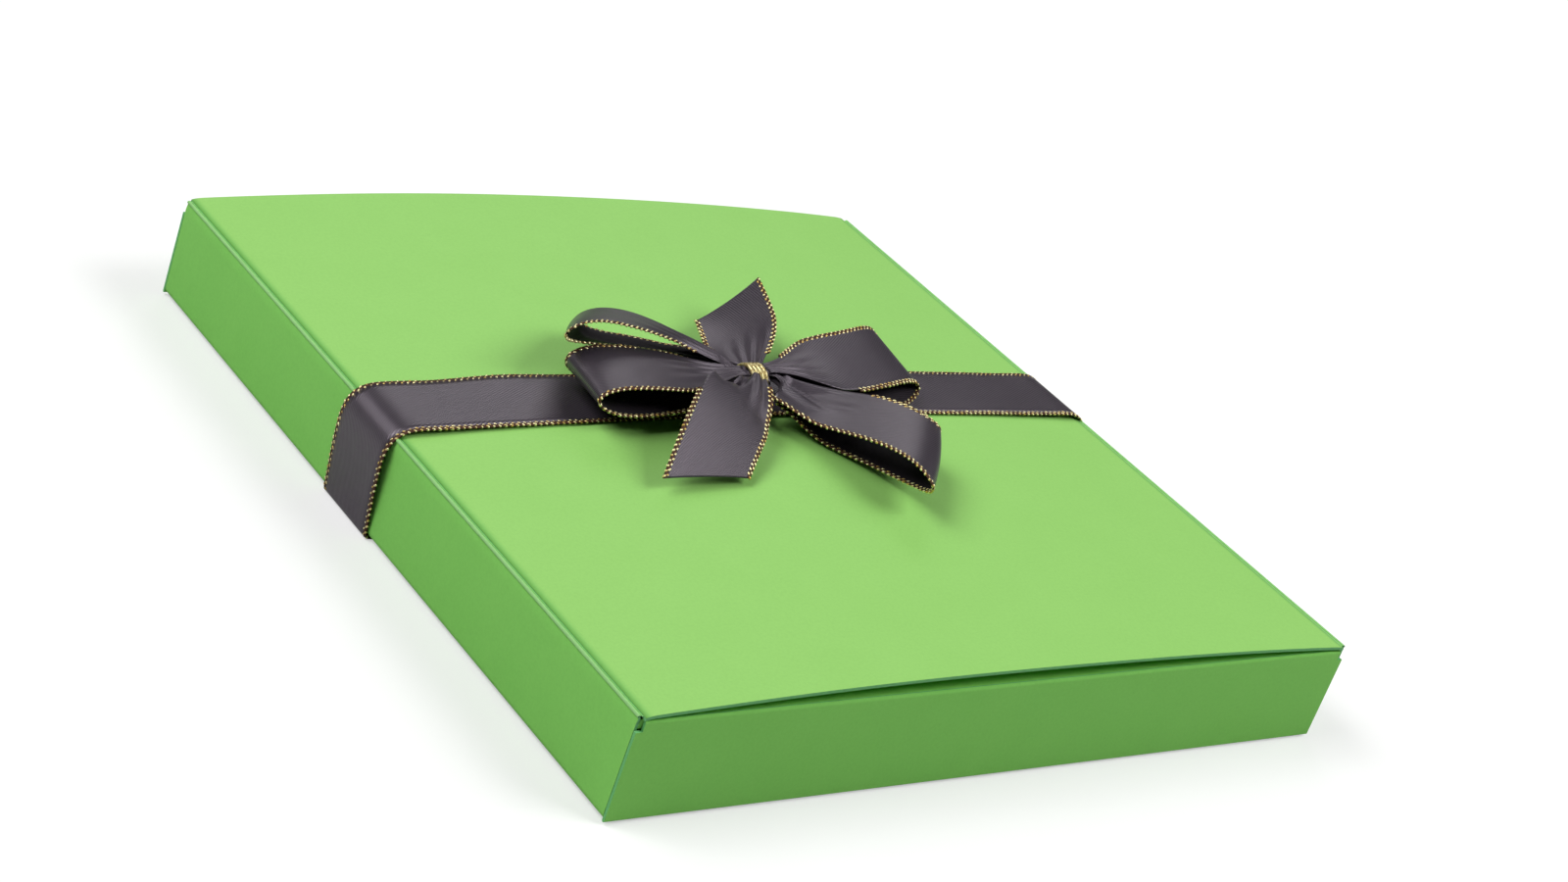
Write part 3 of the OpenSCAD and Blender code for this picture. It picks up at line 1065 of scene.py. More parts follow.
        points, faces, kinds = SolidSheet(drawn_out(line), drawn_out(inner)).parts()
        for box_end in End:
            faces += [tuple(n + len(points) for n in face) for face in self.EAR_FACES]
            kinds += [FaceKind.UPPER] * len(self.EAR_FACES)
            points = np.concatenate([points, self.ear(side, box_end)])
        word = side.name.lower()
        sheet = make_mesh(f"{word}_sheet", points, faces, kinds)
        sharp_by_angle(sheet, self.side_sharp)
        attach(sheet, Body.SLEEVE, f"{word}_side_panel")
        return sheet

    def build(self) -> None:
        """Makes the sleeve's three visible sheets."""
        self.pieces = [self.top_sheet(), *(self.side_sheet(side) for side in Side)]

    def dress(self, looks: Finishes) -> None:
        """Gives the sheets and the flat CAD panels their card, with cut edges where the card's edge shows.

        Args:
            looks: Shared materials.
        """
        for sheet, face in zip(self.pieces, (looks.card_top, looks.card_side, looks.card_side)):
            put_on(sheet, face, looks.card_edge, looks.card)
        for end in (e.name.lower() for e in End):
            set_finish(f"{end}_tuck_flap", looks.card_faces[Axis.Z])
            for panel in ("closure_panel", "left_dust_flap", "right_dust_flap"):
                set_finish(f"{end}_{panel}", looks.card_faces[Axis.Y])
        set_finish("bottom_panel", looks.card_faces[Axis.Z])
        set_finish("glue_flap", looks.card)


@dataclass
class GoldEdge:
    """Gold stitches in two staggered rows along an edge of ribbon, over a flat brown core.

    Attributes:
        FIRST: Share of the pitch at which the inner row starts.
        STAGGER: Share of the pitch by which the outer row starts later.
        pitch: Distance from stitch to stitch of a row.
        row_gap: Distance between the rows.
        stitch_l: Length of a stitch.
        stitch_w: Width of a stitch.
        stitch_t: Thickness of a stitch.
        slant: Slant of the stitches to the edge, in degrees.
        slant_spread: Share by which the slant varies.
        size_spread: Share by which the stitches' size varies.
        step: Distance before and behind a stitch at which the edge's direction is read.
        core_w: Half of the core's width.
        core_t: Half of the core's thickness.
        floor: Least height of any point.
        rings: Rings of points on a stitch.
        sides: Points of each ring.
        core_sides: Points round the core.
    """

    FIRST: ClassVar[float] = 0.25
    STAGGER: ClassVar[float] = 0.5

    pitch: float = 1.12
    row_gap: float = 0.5
    stitch_l: float = 0.74
    stitch_w: float = 0.44
    stitch_t: float = 0.52
    slant: float = 36.0
    slant_spread: float = 0.15
    size_spread: float = 0.1
    step: float = 0.2
    core_w: float = 0.5
    core_t: float = 0.19
    floor: float = 0.01
    rings: int = 4
    sides: int = 7
    core_sides: int = 8

    def stitch_shape(self) -> tuple[np.ndarray, list[Face]]:
        """One rounded stitch of unit size.

        Returns:
            Points on a ball of diameter 1, and its faces.
        """
        points = [(0.0, 0.0, -0.5)]
        for i in range(1, self.rings + 1):
            a = math.pi * i / (self.rings + 1)
            for k in range(self.sides):
                b = 2 * math.pi * k / self.sides
                flat = 0.5 * math.sin(a)
                points.append((flat * math.cos(b), flat * math.sin(b), -0.5 * math.cos(a)))
        points.append((0.0, 0.0, 0.5))
        faces = [(0, 1 + (k + 1) % self.sides, 1 + k) for k in range(self.sides)]
        faces += turned_over(tube_faces(self.rings, self.sides, first=1))
        top, first = len(points) - 1, 1 + (self.rings - 1) * self.sides
        faces += [(first + k, first + (k + 1) % self.sides, top) for k in range(self.sides)]
        return np.array(points), faces

    def stitches(self, line: np.ndarray, outward: np.ndarray, row: StitchRow) -> np.ndarray:
        """Points of all stitches of one row.

        Args:
            line: Points of the edge's line.
            outward: Unit vectors out of the ribbon at those points.
            row: Row of stitches.

        Returns:
            Points, stitch by stitch.
        """
        run = distances(line)
        count = max(2, round(run[-1] / self.pitch))
        places = (np.arange(count) + self.FIRST + self.STAGGER * row) * run[-1] / count
        before = np.maximum(places - self.step, 0)
        behind = np.minimum(places + self.step, run[-1])
        ahead = unit(read_at(line, run, behind) - read_at(line, run, before))
        out = unit(read_at(outward, run, places))
        out = unit(out - ahead * np.sum(out * ahead, axis=1, keepdims=True))
        up = np.cross(ahead, out)
        chance = np.random.default_rng(count * 2 + row)
        turn = np.radians(self.slant * (1 + self.slant_spread * chance.standard_normal((count, 1))))
        size = 1 + self.size_spread * chance.standard_normal((count, 1))
        long = ahead * np.cos(turn) + out * np.sin(turn)
        wide = -ahead * np.sin(turn) + out * np.cos(turn)
        shape, _ = self.stitch_shape()
        middle = read_at(line, run, places) + out * self.row_gap * (row - 0.5)
        body = (shape[None, :, 2:3] * (long * size * self.stitch_l)[:, None, :]
                + shape[None, :, 0:1] * (wide * self.stitch_w)[:, None, :]
                + shape[None, :, 1:2] * (up * size * self.stitch_t)[:, None, :])
        return (middle[:, None, :] + body).reshape(-1, 3)

    def build(
        self, name: str, line: np.ndarray, outward: np.ndarray, closed: bool = False
    ) -> bpy.types.Object:
        """Stitches and core along an edge.

        Args:
            name: Object name.
            line: Points of the edge's line.
            outward: Unit vectors out of the ribbon at those points.
            closed: True if the line is a ring.

        Returns:
            The edge as one object.
        """
        if closed:
            line = np.concatenate([line, line[:1]])
            outward = np.concatenate([outward, outward[:1]])
        stitches = np.concatenate([self.stitches(line, outward, row) for row in StitchRow])
        shape, shape_faces = self.stitch_shape()
        firsts = range(0, len(stitches), len(shape))
        faces = [tuple(n + first for n in face) for first in firsts for face in shape_faces]
        upward = np.cross(unit(np.gradient(line, axis=0)), outward)
        core = np.stack([line + outward * self.core_w * math.cos(a) + upward * self.core_t * math.sin(a)
                         for a in np.linspace(0, 2 * math.pi, self.core_sides, endpoint=False)], 1)
        core_faces = tube_faces(len(line), self.core_sides, first=len(stitches))
        points = np.concatenate([stitches, core.reshape(-1, 3)])
        points[:, 2] = np.maximum(points[:, 2], self.floor)
        slots = [0] * len(faces) + [1] * len(core_faces)
        return make_mesh(name, points, faces + core_faces, slots)

    def dress(self, edge: bpy.types.Object, looks: Finishes) -> None:
        """Makes the stitches gold and the core brown."""
        put_on(edge, looks.gold, looks.gold_core)


class Ripple(NamedTuple):
    """Swell of the band on the top of the box.

    Attributes:
        height: Height of the swell, negative for a hollow.
        at: Place along the ribbon.
        length: Length over which it fades.
    """

    height: float
    at: float
    length: float


@dataclass
class RibbonBand:
    """Satin band round the box, standing a little off the card and bending softly at the creases.

    Attributes:
        CORNER_CUTS: Times that the corners of the band's line are cut.
        CORNER_SHARE: Share of a straight that each cut takes off at its ends.
        width: Width of the satin between its gold edges.
        thickness: Thickness of the satin.
        place: Place of the band along the box.
        lift: Height of the band above the top's middle.
        lift_more: Further height towards the sides.
        lift_from: Distance from the middle at which that further height starts.
        lift_l: Length over which it comes in.
        flat_in: Distance from the side at which the bend over the crease starts.
        bend_r: Bend over the long creases.
        bend_in: Distance of that bend's middle from the side.
        bend_down: Depth of that bend's middle below the crease.
        side_line: Points down a side, as distance beyond the side and height.
        tuck_in: Distance from the side at which the band turns under the box.
        under_in: Distance from the side at which it lies flat under the box.
        crown: Height of the band's middle above its edges.
        ripples: Swells of the band on the top.
        ripple_from: Place across the band from which the swells come in.
        ripple_w: Width over which they come in.
        rim_in: Distance from the side at which crown and swells have gone.
        rim_l: Length over which they go.
        rim_up: Height above the crease over which they come in.
        edge_out: Distance of the gold edges' line from the satin's edge.
        soft_reach: Points on either side that soften the band's line.
        soft_spread: Spread of that softening, in points.
        soft_from: Height at which it starts.
        soft_l: Height over which it comes in.
        top_points: Points of the line across the top.
        bend_points: Points of the line round a bend.
        under_points: Points of the line under the box.
        rows: Rows of points round the box.
        cols: Points across the band.
        edge: Stitching of the edges.
        pieces: Band and gold edges, once they are built.
    """

    CORNER_CUTS: ClassVar[int] = 2
    CORNER_SHARE: ClassVar[float] = 0.25

    width: float = 14.0
    thickness: float = 0.3
    place: float = 5.0
    lift: float = 0.42
    lift_more: float = 0.3
    lift_from: float = 40.0
    lift_l: float = 22.0
    flat_in: float = 13.0
    bend_r: float = 4.1
    bend_in: float = 2.6
    bend_down: float = 2.82
    side_line: tuple[tuple[float, float], ...] = (
        (1.2, 10.0), (0.75, 5.5), (0.42, 2.4), (0.36, 1.0), (0.2, 0.42))
    tuck_in: float = 0.4
    under_in: float = 3.0
    crown: float = 0.16
    ripples: tuple[Ripple, ...] = (Ripple(0.5, -47.0, 9.0), Ripple(-0.1, -62.0, 7.0))
    ripple_from: float = -0.2
    ripple_w: float = 1.2
    rim_in: float = 7.0
    rim_l: float = 8.0
    rim_up: float = 1.0
    edge_out: float = 0.06
    soft_reach: int = 9
    soft_spread: float = 3.2
    soft_from: float = 8.0
    soft_l: float = 5.0
    top_points: int = 41
    bend_points: int = 13
    under_points: int = 25
    rows: int = 520
    cols: int = 11
    edge: GoldEdge = field(default_factory=GoldEdge)
    pieces: list[bpy.types.Object] = field(default_factory=list)

    def half_turn(self, carton: Carton, side: Side) -> list[tuple[float, float]]:
        """Points of the line over a long crease and down that side, to where it turns under the box.

        Args:
            carton: Box that the band goes round.
            side: Side of the box.

        Returns:
            Points in the XZ plane, from the top down.
        """
        x, z = carton.half - self.bend_in, carton.top - self.bend_down
        turns = np.radians(np.linspace(90, 0, self.bend_points))
        points = [(x + self.bend_r * math.cos(a), z + self.bend_r * math.sin(a)) for a in turns]
        points += [(carton.half + beyond, height) for beyond, height in self.side_line]
        points.append((carton.half - self.tuck_in, self.thickness / 2))
        return [(side * px, pz) for px, pz in points]

    def corners(self, carton: Carton) -> np.ndarray:
        """Points that the band's line is drawn through.

        Args:
            carton: Box that the band goes round.

        Returns:
            Points of the closed line in the XZ plane, from the top's left over the right side.
        """
        flat = carton.half - self.flat_in
        x = np.linspace(-flat, flat, self.top_points)
        lift = self.lift + self.lift_more * smooth((np.abs(x) - self.lift_from) / self.lift_l)
        over = np.stack([x, carton.top_height(x, np.full_like(x, self.place)) + lift], -1)
        low = carton.half - self.under_in
        under_x = np.linspace(low, -low, self.under_points)
        under = np.stack([under_x, np.full_like(under_x, self.thickness / 2)], -1)
        right, left = self.half_turn(carton, Side.RIGHT), self.half_turn(carton, Side.LEFT)
        return np.concatenate([over, right, under, left[::-1]])

    def route(self, carton: Carton) -> np.ndarray:
        """Middle line of the band's section round the box.

        Args:
            carton: Box that the band goes round.

        Returns:
            Points of the closed line in the XZ plane, spaced evenly.
        """
        line = self.corners(carton)
        keep, cut = 1 - self.CORNER_SHARE, self.CORNER_SHARE
        for _ in range(self.CORNER_CUTS):
            ahead, back = np.roll(line, -1, 0), np.roll(line, 1, 0)
            line = np.stack([keep * line + cut * back, keep * line + cut * ahead], 1).reshape(-1, 2)
        closed = np.concatenate([line, line[:1]])
        run = distances(closed)
        line = read_at(closed, run, np.linspace(0, run[-1], self.rows, endpoint=False))
        line = np.roll(line, -int(np.argmin(np.abs(line[:, 0]) + line[:, 1])), 0)
        reach = np.arange(-self.soft_reach, self.soft_reach + 1)
        weights = np.exp(-0.5 * (reach / self.soft_spread) ** 2)
        soft = sum(w * np.roll(line, n, 0) for n, w in zip(reach, weights)) / weights.sum()
        return line + (soft - line) * smooth((line[:, 1:] - self.soft_from) / self.soft_l)

    def swell(self, carton: Carton, line: np.ndarray, across: np.ndarray) -> np.ndarray:
        """Heights of crown and ripples over the band's line.

        Args:
            carton: Box that the band goes round.
            line: Middle line of the band's section.
            across: Places across the band, from -1 to 1.

        Returns:
            Heights, a row for each point of the line and a column for each place.
        """
        x, z = line[:, 0], line[:, 1]
        on_top = smooth((z - carton.top) / self.rim_up)
        on_top = on_top * smooth((carton.half - self.rim_in - np.abs(x)) / self.rim_l)
        ripple = sum(r.height * np.exp(-((x - r.at) / r.length) ** 2) for r in self.ripples)
        share = smooth((across - self.ripple_from) / self.ripple_w)
        return on_top[:, None] * (ripple[:, None] * share + self.crown * (1 - across ** 2))

    def build(self, carton: Carton) -> None:
        """Makes the band and its gold edges.

        Args:
            carton: Box that the band goes round.
        """
        line = self.route(carton)
        ahead = unit(np.roll(line, -1, 0) - np.roll(line, 1, 0))
        level = np.zeros(self.rows)
        out = np.stack([-ahead[:, 1], level, ahead[:, 0]], -1)[:, None, :]
        across = np.linspace(-1, 1, self.cols)
        middle = np.stack([line[:, 0], level, line[:, 1]], -1)[:, None, :]
        beside = np.stack([0 * across, self.place + across * self.width / 2, 0 * across], -1)
        grid = middle + beside + out * self.swell(carton, line, across)[..., None]
        skin = out * self.thickness / 2
        points, faces, kinds = SolidSheet(grid + skin, grid - skin, closed=True).parts()
        run = distances(line)
        uv = np.stack(np.broadcast_arrays(run[:, None], across * self.width / 2), -1).reshape(-1, 2)
        inner = [int(kind is FaceKind.LOWER) for kind in kinds]
        band = make_mesh("ribbon_band_satin", points, faces, inner, np.concatenate([uv, uv]))
        attach(band, Body.RIBBON, "ribbon_band")
        edges = []
        for end, column in zip(End, (0, self.cols - 1)):
            outward = np.broadcast_to(np.array([0.0, end, 0.0]), (self.rows, 3))
            edge_line = grid[:, column] + outward * self.edge_out
            edges.append(self.edge.build(f"band_{end.name.lower()}_gold", edge_line, outward, closed=True))
        for edge, node in zip(edges, ("band_edging", None)):
            attach(edge, Body.RIBBON, node)
        self.pieces = [band, *edges]

    def dress(self, looks: Finishes) -> None:
        """Gives the band its satin face and dull back, darker partly as painted shade, and its edges their
        gold.

        Args:
            looks: Shared materials.
        """
        band, *edges = self.pieces
        put_on(band, looks.satin, looks.satin_back)
        for edge in edges:
            self.edge.dress(edge, looks)


class Dent(NamedTuple):
    """Hollow near the root of a strip.

    Attributes:
        at: Distance from the knot.
        place: Place across the strip, from -1 to 1.
        depth: Depth, negative for a swell.
        length: Length over which it fades along the strip.
        width: Share of the half width over which it fades across.
    """

    at: float
    place: float
    depth: float
    length: float
    width: float


class Course(NamedTuple):
    """Way of a strip from the knot, before its gather and folds.

    Attributes:
        out: Distances from the knot.
        up: Heights above the knot's middle.
        tilt: Tilts across the strip, far edge up, in degrees.
        swing: Turns towards the far end, in degrees.
        share: Shares of the way to the tip.
        layer: 1 on an upper layer, falling to -1 on a lower one.
    """

    out: np.ndarray
    up: np.ndarray
    tilt: np.ndarray
    swing: np.ndarray
    share: np.ndarray
    layer: np.ndarray


@dataclass(kw_only=True)
class BowStrip:
    """One strip of the bow, which leaves the knot and opens from its gather.

    Attributes:
        PLEAT_FADE: Power with which the pleats fade as the strip opens.
        PLEAT_WAVER: How far the pleats stray from even spacing, as an angle.
        WAVER_SPAN: Angle through which that straying runs from the middle to an edge.
        CREST_AT: Place of the crest across a rolled strip.
        CREST_WIDTH: Width over which the crest fades.
        CREST_SHARE: Height of the crest, as a share of the roll.
        ROLL_FROM: Place across the strip from which it rolls down.
        name: Node name of the strip.
        side: Side of the knot on which it leaves.
        swing: Turn towards the far end, in degrees.
        seat: Height of the root from the knot's middle.
        bend: Further turn that comes in towards the tip.
        tilt: Tilt across the strip, far edge up, in degrees.
        drop: How far the root lies below the seat, under the binding.
        drop_l: Length over which that drop fades.
        lag: Shares by which the near and the far edge open later than the middle.
        gold_from: Distances from the knot at which the near and the far gold edge come into sight.
        cup: Fall of both edges below the strip's middle.
        roll: Further fall of the far edge, beyond the strip's crest.
        dents: Hollows near the root.
        width: Width of the satin between its gold edges.
        pinch: Width at the knot.
        gather: Length over which the strip opens to its width.
        root: Distance of the root from the knot's middle.
        swing_l: Length over which the swing comes in.
        tilt_from: Distance from the knot at which the tilt starts.
        tilt_l: Length over which it comes in.
        thickness: Thickness of the satin.
        edge_out: Distance of the gold edges' line from the satin's edge.
        pleat: Depth of the gathered pleats.
        pleats: Half pleats on either side of the middle.
        rows: Rows of points along the strip.
        cols: Points across it.
        cut_length: Length of the ribbon's middle line, measured when the strip is built.
        pieces: Strip and gold edges, once they are built.
    """

    PLEAT_FADE: ClassVar[float] = 1.5
    PLEAT_WAVER: ClassVar[float] = 0.8
    WAVER_SPAN: ClassVar[float] = 3.0
    CREST_AT: ClassVar[float] = 0.4
    CREST_WIDTH: ClassVar[float] = 0.35
    CREST_SHARE: ClassVar[float] = 0.6
    ROLL_FROM: ClassVar[float] = 0.5

    name: str
    side: Side
    swing: float
    seat: float
    bend: float = 0.0
    tilt: float = 0.0
    drop: float = 0.0
    drop_l: float = 6.0
    lag: tuple[float, float] = (0.0, 0.0)
    gold_from: tuple[float, float]
    cup: float = 0.0
    roll: float = 0.0
    dents: tuple[Dent, ...] = ()
    width: float = 14.2
    pinch: float = 3.0
    gather: float
    root: float = 2.6
    swing_l: float = 8.0
    tilt_from: float = 6.0
    tilt_l: float = 14.0
    thickness: float = 0.22
    edge_out: float = 0.1
    pleat: float = 0.3
    pleats: int = 4
    rows: int = 150
    cols: int = 33
    cut_length: float = 0.0
    pieces: list[bpy.types.Object] = field(default_factory=list)

    @property
    def edging(self) -> str:
        """CAD node of the strip's gold edging."""
        return self.name.replace("_loop", "") + "_edging"

    def course(self, f: np.ndarray, v: np.ndarray) -> Course:
        """Way of the strip, which each kind of strip gives.

        Args:
            f: Shares along the strip.
            v: Places across it, from -1 to 1.

        Returns:
            The way, read at each pair of shares.
        """
        raise NotImplementedError

    def stations(self) -> np.ndarray:
        """Shares along the strip at which its rows lie."""
        return np.linspace(0, 1, self.rows)

    def face_slots(self, faces: list[Face], kinds: list[FaceKind]) -> list[StripFace]:
        """Material of each face: satin outside and dull cloth inside, whose darker colour is partly painted
        shade.

        Args:
            faces: Faces as point numbers.
            kinds: Kind of each face.

        Returns:
            One slot for each face.
        """
        return [StripFace.BACK if kind is FaceKind.LOWER else StripFace.SATIN for kind in kinds]

    def surface(self, knot: np.ndarray, f: np.ndarray, v: np.ndarray) -> np.ndarray:
        """Points of the strip's middle surface.

        Args:
            knot: Middle of the knot.
            f: Shares along the strip.
            v: Places across it, from -1 to 1.

        Returns:
            Points, one for each pair of shares.
        """
        way = self.course(f, v)
        gone = way.out - self.root
        turn = np.radians(way.swing * smooth(gone / self.swing_l) + self.bend * way.share ** 2)
        level = np.zeros_like(turn)
        ahead = np.stack([self.side * np.cos(turn), np.sin(turn), level], -1)
        across = np.stack([-self.side * np.sin(turn), np.cos(turn), level], -1)
        tilt = np.radians(way.tilt * smooth((way.out - self.tilt_from) / self.tilt_l))
        late = 1 + self.lag[0] * np.maximum(-v, 0) + self.lag[1] * np.maximum(v, 0)
        opened = np.clip(gone / (self.gather * late), 0, 1)
        half = (self.pinch + (self.width - self.pinch) * smooth(opened)) / 2
        depth = self.pleat * 4 * opened * (1 - opened) ** self.PLEAT_FADE
        waver = self.PLEAT_WAVER * np.sin(self.WAVER_SPAN * v)
        fold = np.cos(math.pi * self.pleats * v + waver) * depth
        crest = np.exp(-(((v - self.CREST_AT) / self.CREST_WIDTH) ** 2))
        fall = smooth((v - self.ROLL_FROM) / (1 - self.ROLL_FROM)) - self.CREST_SHARE * crest
        up = way.up + np.sin(tilt) * v * half + fold * way.layer
        up -= self.drop * (1 - smooth(gone / self.drop_l))
        up -= (self.cup * v * v + self.roll * fall) * way.layer * opened
        for dent in self.dents:
            near = ((way.out - dent.at) / dent.length) ** 2 + ((v - dent.place) / dent.width) ** 2
            up -= dent.depth * np.exp(-near) * (way.layer > 0)
        points = knot + ahead * way.out[..., None] + across * (np.cos(tilt) * v * half)[..., None]
        points[..., 2] += up
        return points

    def build(self, knot: np.ndarray, edge: GoldEdge) -> None:
        """Makes the strip and its two gold edges.

        Args:
            knot: Middle of the knot.
            edge: Stitching of the edges.
        """
        f, v = np.meshgrid(self.stations(), np.linspace(-1, 1, self.cols), indexing="ij")
        grid = self.surface(knot, f, v)
        normal = unit(np.cross(np.gradient(grid, axis=0), np.gradient(grid, axis=1))) * self.side
        skin = normal * self.thickness / 2
        points, faces, kinds = SolidSheet(grid + skin, grid - skin).parts()
        slots = self.face_slots(faces, kinds)
        if self.side is Side.LEFT:
            faces = [face[::-1] for face in faces]
        run = distances(grid[:, self.cols // 2])
        self.cut_length = float(run[-1])
        uv = np.stack([np.broadcast_to(run[:, None], f.shape), v * self.width / 2], -1).reshape(-1, 2)
        strip = make_mesh(self.name + "_satin", points, faces, slots, np.concatenate([uv, uv]))
        attach(strip, Body.RIBBON, self.name)
        edges = []
        last = self.cols - 1
        for end, column, inner, start in zip(End, (0, last), (1, last - 1), self.gold_from):
            keep = np.linalg.norm(grid[:, column, :2] - knot[:2], axis=1) > start
            outward = unit(grid[:, column] - grid[:, inner])[keep]
            line = grid[keep, column] + outward * self.edge_out
            edges.append(edge.build(f"{self.name}_{end.name.lower()}_gold", line, outward))
        for gold, node in zip(edges, (self.edging, None)):
            attach(gold, Body.RIBBON, node)
        self.pieces = [strip, *edges]

    def dress(self, looks: Finishes, edge: GoldEdge) -> None:
        """Gives the strip its satin and its edges their gold.

        Args:
            looks: Shared materials.
            edge: Stitching of the edges.
        """
        strip, *edges = self.pieces
        put_on(strip, looks.satin, looks.satin_cut, looks.satin_back)
        for gold in edges:
            edge.dress(gold, looks)


@dataclass(kw_only=True)
class Loop(BowStrip):
    """Loop of the bow: out on its upper layer and back on its lower one.

    Attributes:
        TRIALS: Trial points at which the layers' greatest distance is sought.
        reach: Distance of the tip from the knot.
        skew: Half of what the far edge reaches beyond the near edge.
        height: Height between the layers.
        lift: Slope outwards, in degrees.
        swing_under: Turn of the lower layer.
        tilt_under: Tilt of the lower layer.
        layer_gap: Height between the layers at the root.
        neck: Power that keeps the layers together near the knot.
        under_from: Share along the strip at which the lower layer's turn and tilt start.
        under_l: Share over which they come in.
    """

    TRIALS: ClassVar[int] = 801

    reach: float
    skew: float = 0.0
    height: float
    lift: float
    swing_under: float
    tilt_under: float
    layer_gap: float = 0.8
    neck: float = 2.5
    under_from: float = 0.35
    under_l: float = 0.3

    def course(self, f: np.ndarray, v: np.ndarray) -> Course:
        """Way of the loop.

        Args:
            f: Shares along the strip.
            v: Places across it, from -1 to 1.

        Returns:
            The way, read at each pair of shares.
        """
        arc = np.sin(math.pi * f)
        layer = np.cos(math.pi * f)
        out = self.root + (self.reach + self.skew * v - self.root) * arc ** 2
        trial = np.linspace(0, 1, self.TRIALS)
        peak = (np.sin(2 * math.pi * trial) * np.sin(math.pi * trial) ** self.neck).max()
        belly = self.height / 2 * np.sin(2 * math.pi * f) * arc ** self.neck / peak
        up = self.seat + self.layer_gap / 2 * layer + out * math.tan(math.radians(self.lift)) + belly
        under = smooth((f - self.under_from) / self.under_l)
        tilt = self.tilt + (self.tilt_under - self.tilt) * under
        swing = self.swing + (self.swing_under - self.swing) * under
        return Course(out, up, tilt, swing, (out - self.root) / (self.reach - self.root), layer)


@dataclass(kw_only=True)
class Tail(BowStrip):
    """Tail of the bow, cut at a slant.

    Attributes:
        ends: Lengths along the near and the far edge.
        climb: Height that the tail gains.
        hump: Hump half way along.
        sealed: Length of the heat-sealed end, whose dark finish is partly painted shadow.
    """

    ends: tuple[float, float]
    climb: float
    hump: float
    sealed: float = 0.35

    def course(self, f: np.ndarray, v: np.ndarray) -> Course:
        """Way of the tail.

        Args:
            f: Shares along the strip.
            v: Places across it, from -1 to 1.

        Returns:
            The way, read at each pair of shares.
        """
        near, far = self.ends
        out = self.root + (near + (far - near) * (v + 1) / 2 - self.root) * f
        share = (out - self.root) / (max(self.ends) - self.root)
        up = self.seat + self.climb * share + self.hump * np.sin(math.pi * share)
        same = np.ones_like(f)
        return Course(out, up, self.tilt * same, self.swing * same, share, same)

    def stations(self) -> np.ndarray:
        """Shares along the tail at which its rows lie, with one more where the sealed end starts."""
        return np.append(super().stations()[:-1], [1.0 - self.sealed / max(self.ends), 1.0])

    def face_slots(self, faces: list[Face], kinds: list[FaceKind]) -> list[StripFace]:
        """Material of each face: as on any strip, and a dark finish on the sealed end that is partly painted
        shadow.

        Args:
            faces: Faces as point numbers.
            kinds: Kind of each face.

        Returns:
            One slot for each face.
        """
        layer = len(self.stations()) * self.cols
        # A face of the sealed end has at least two points in the last row of either layer.
        sealed = [sum(n % layer >= layer - self.cols for n in face) >= 2 for face in faces]
        slots = super().face_slots(faces, kinds)
        return [StripFace.CUT if end else slot for end, slot in zip(sealed, slots)]


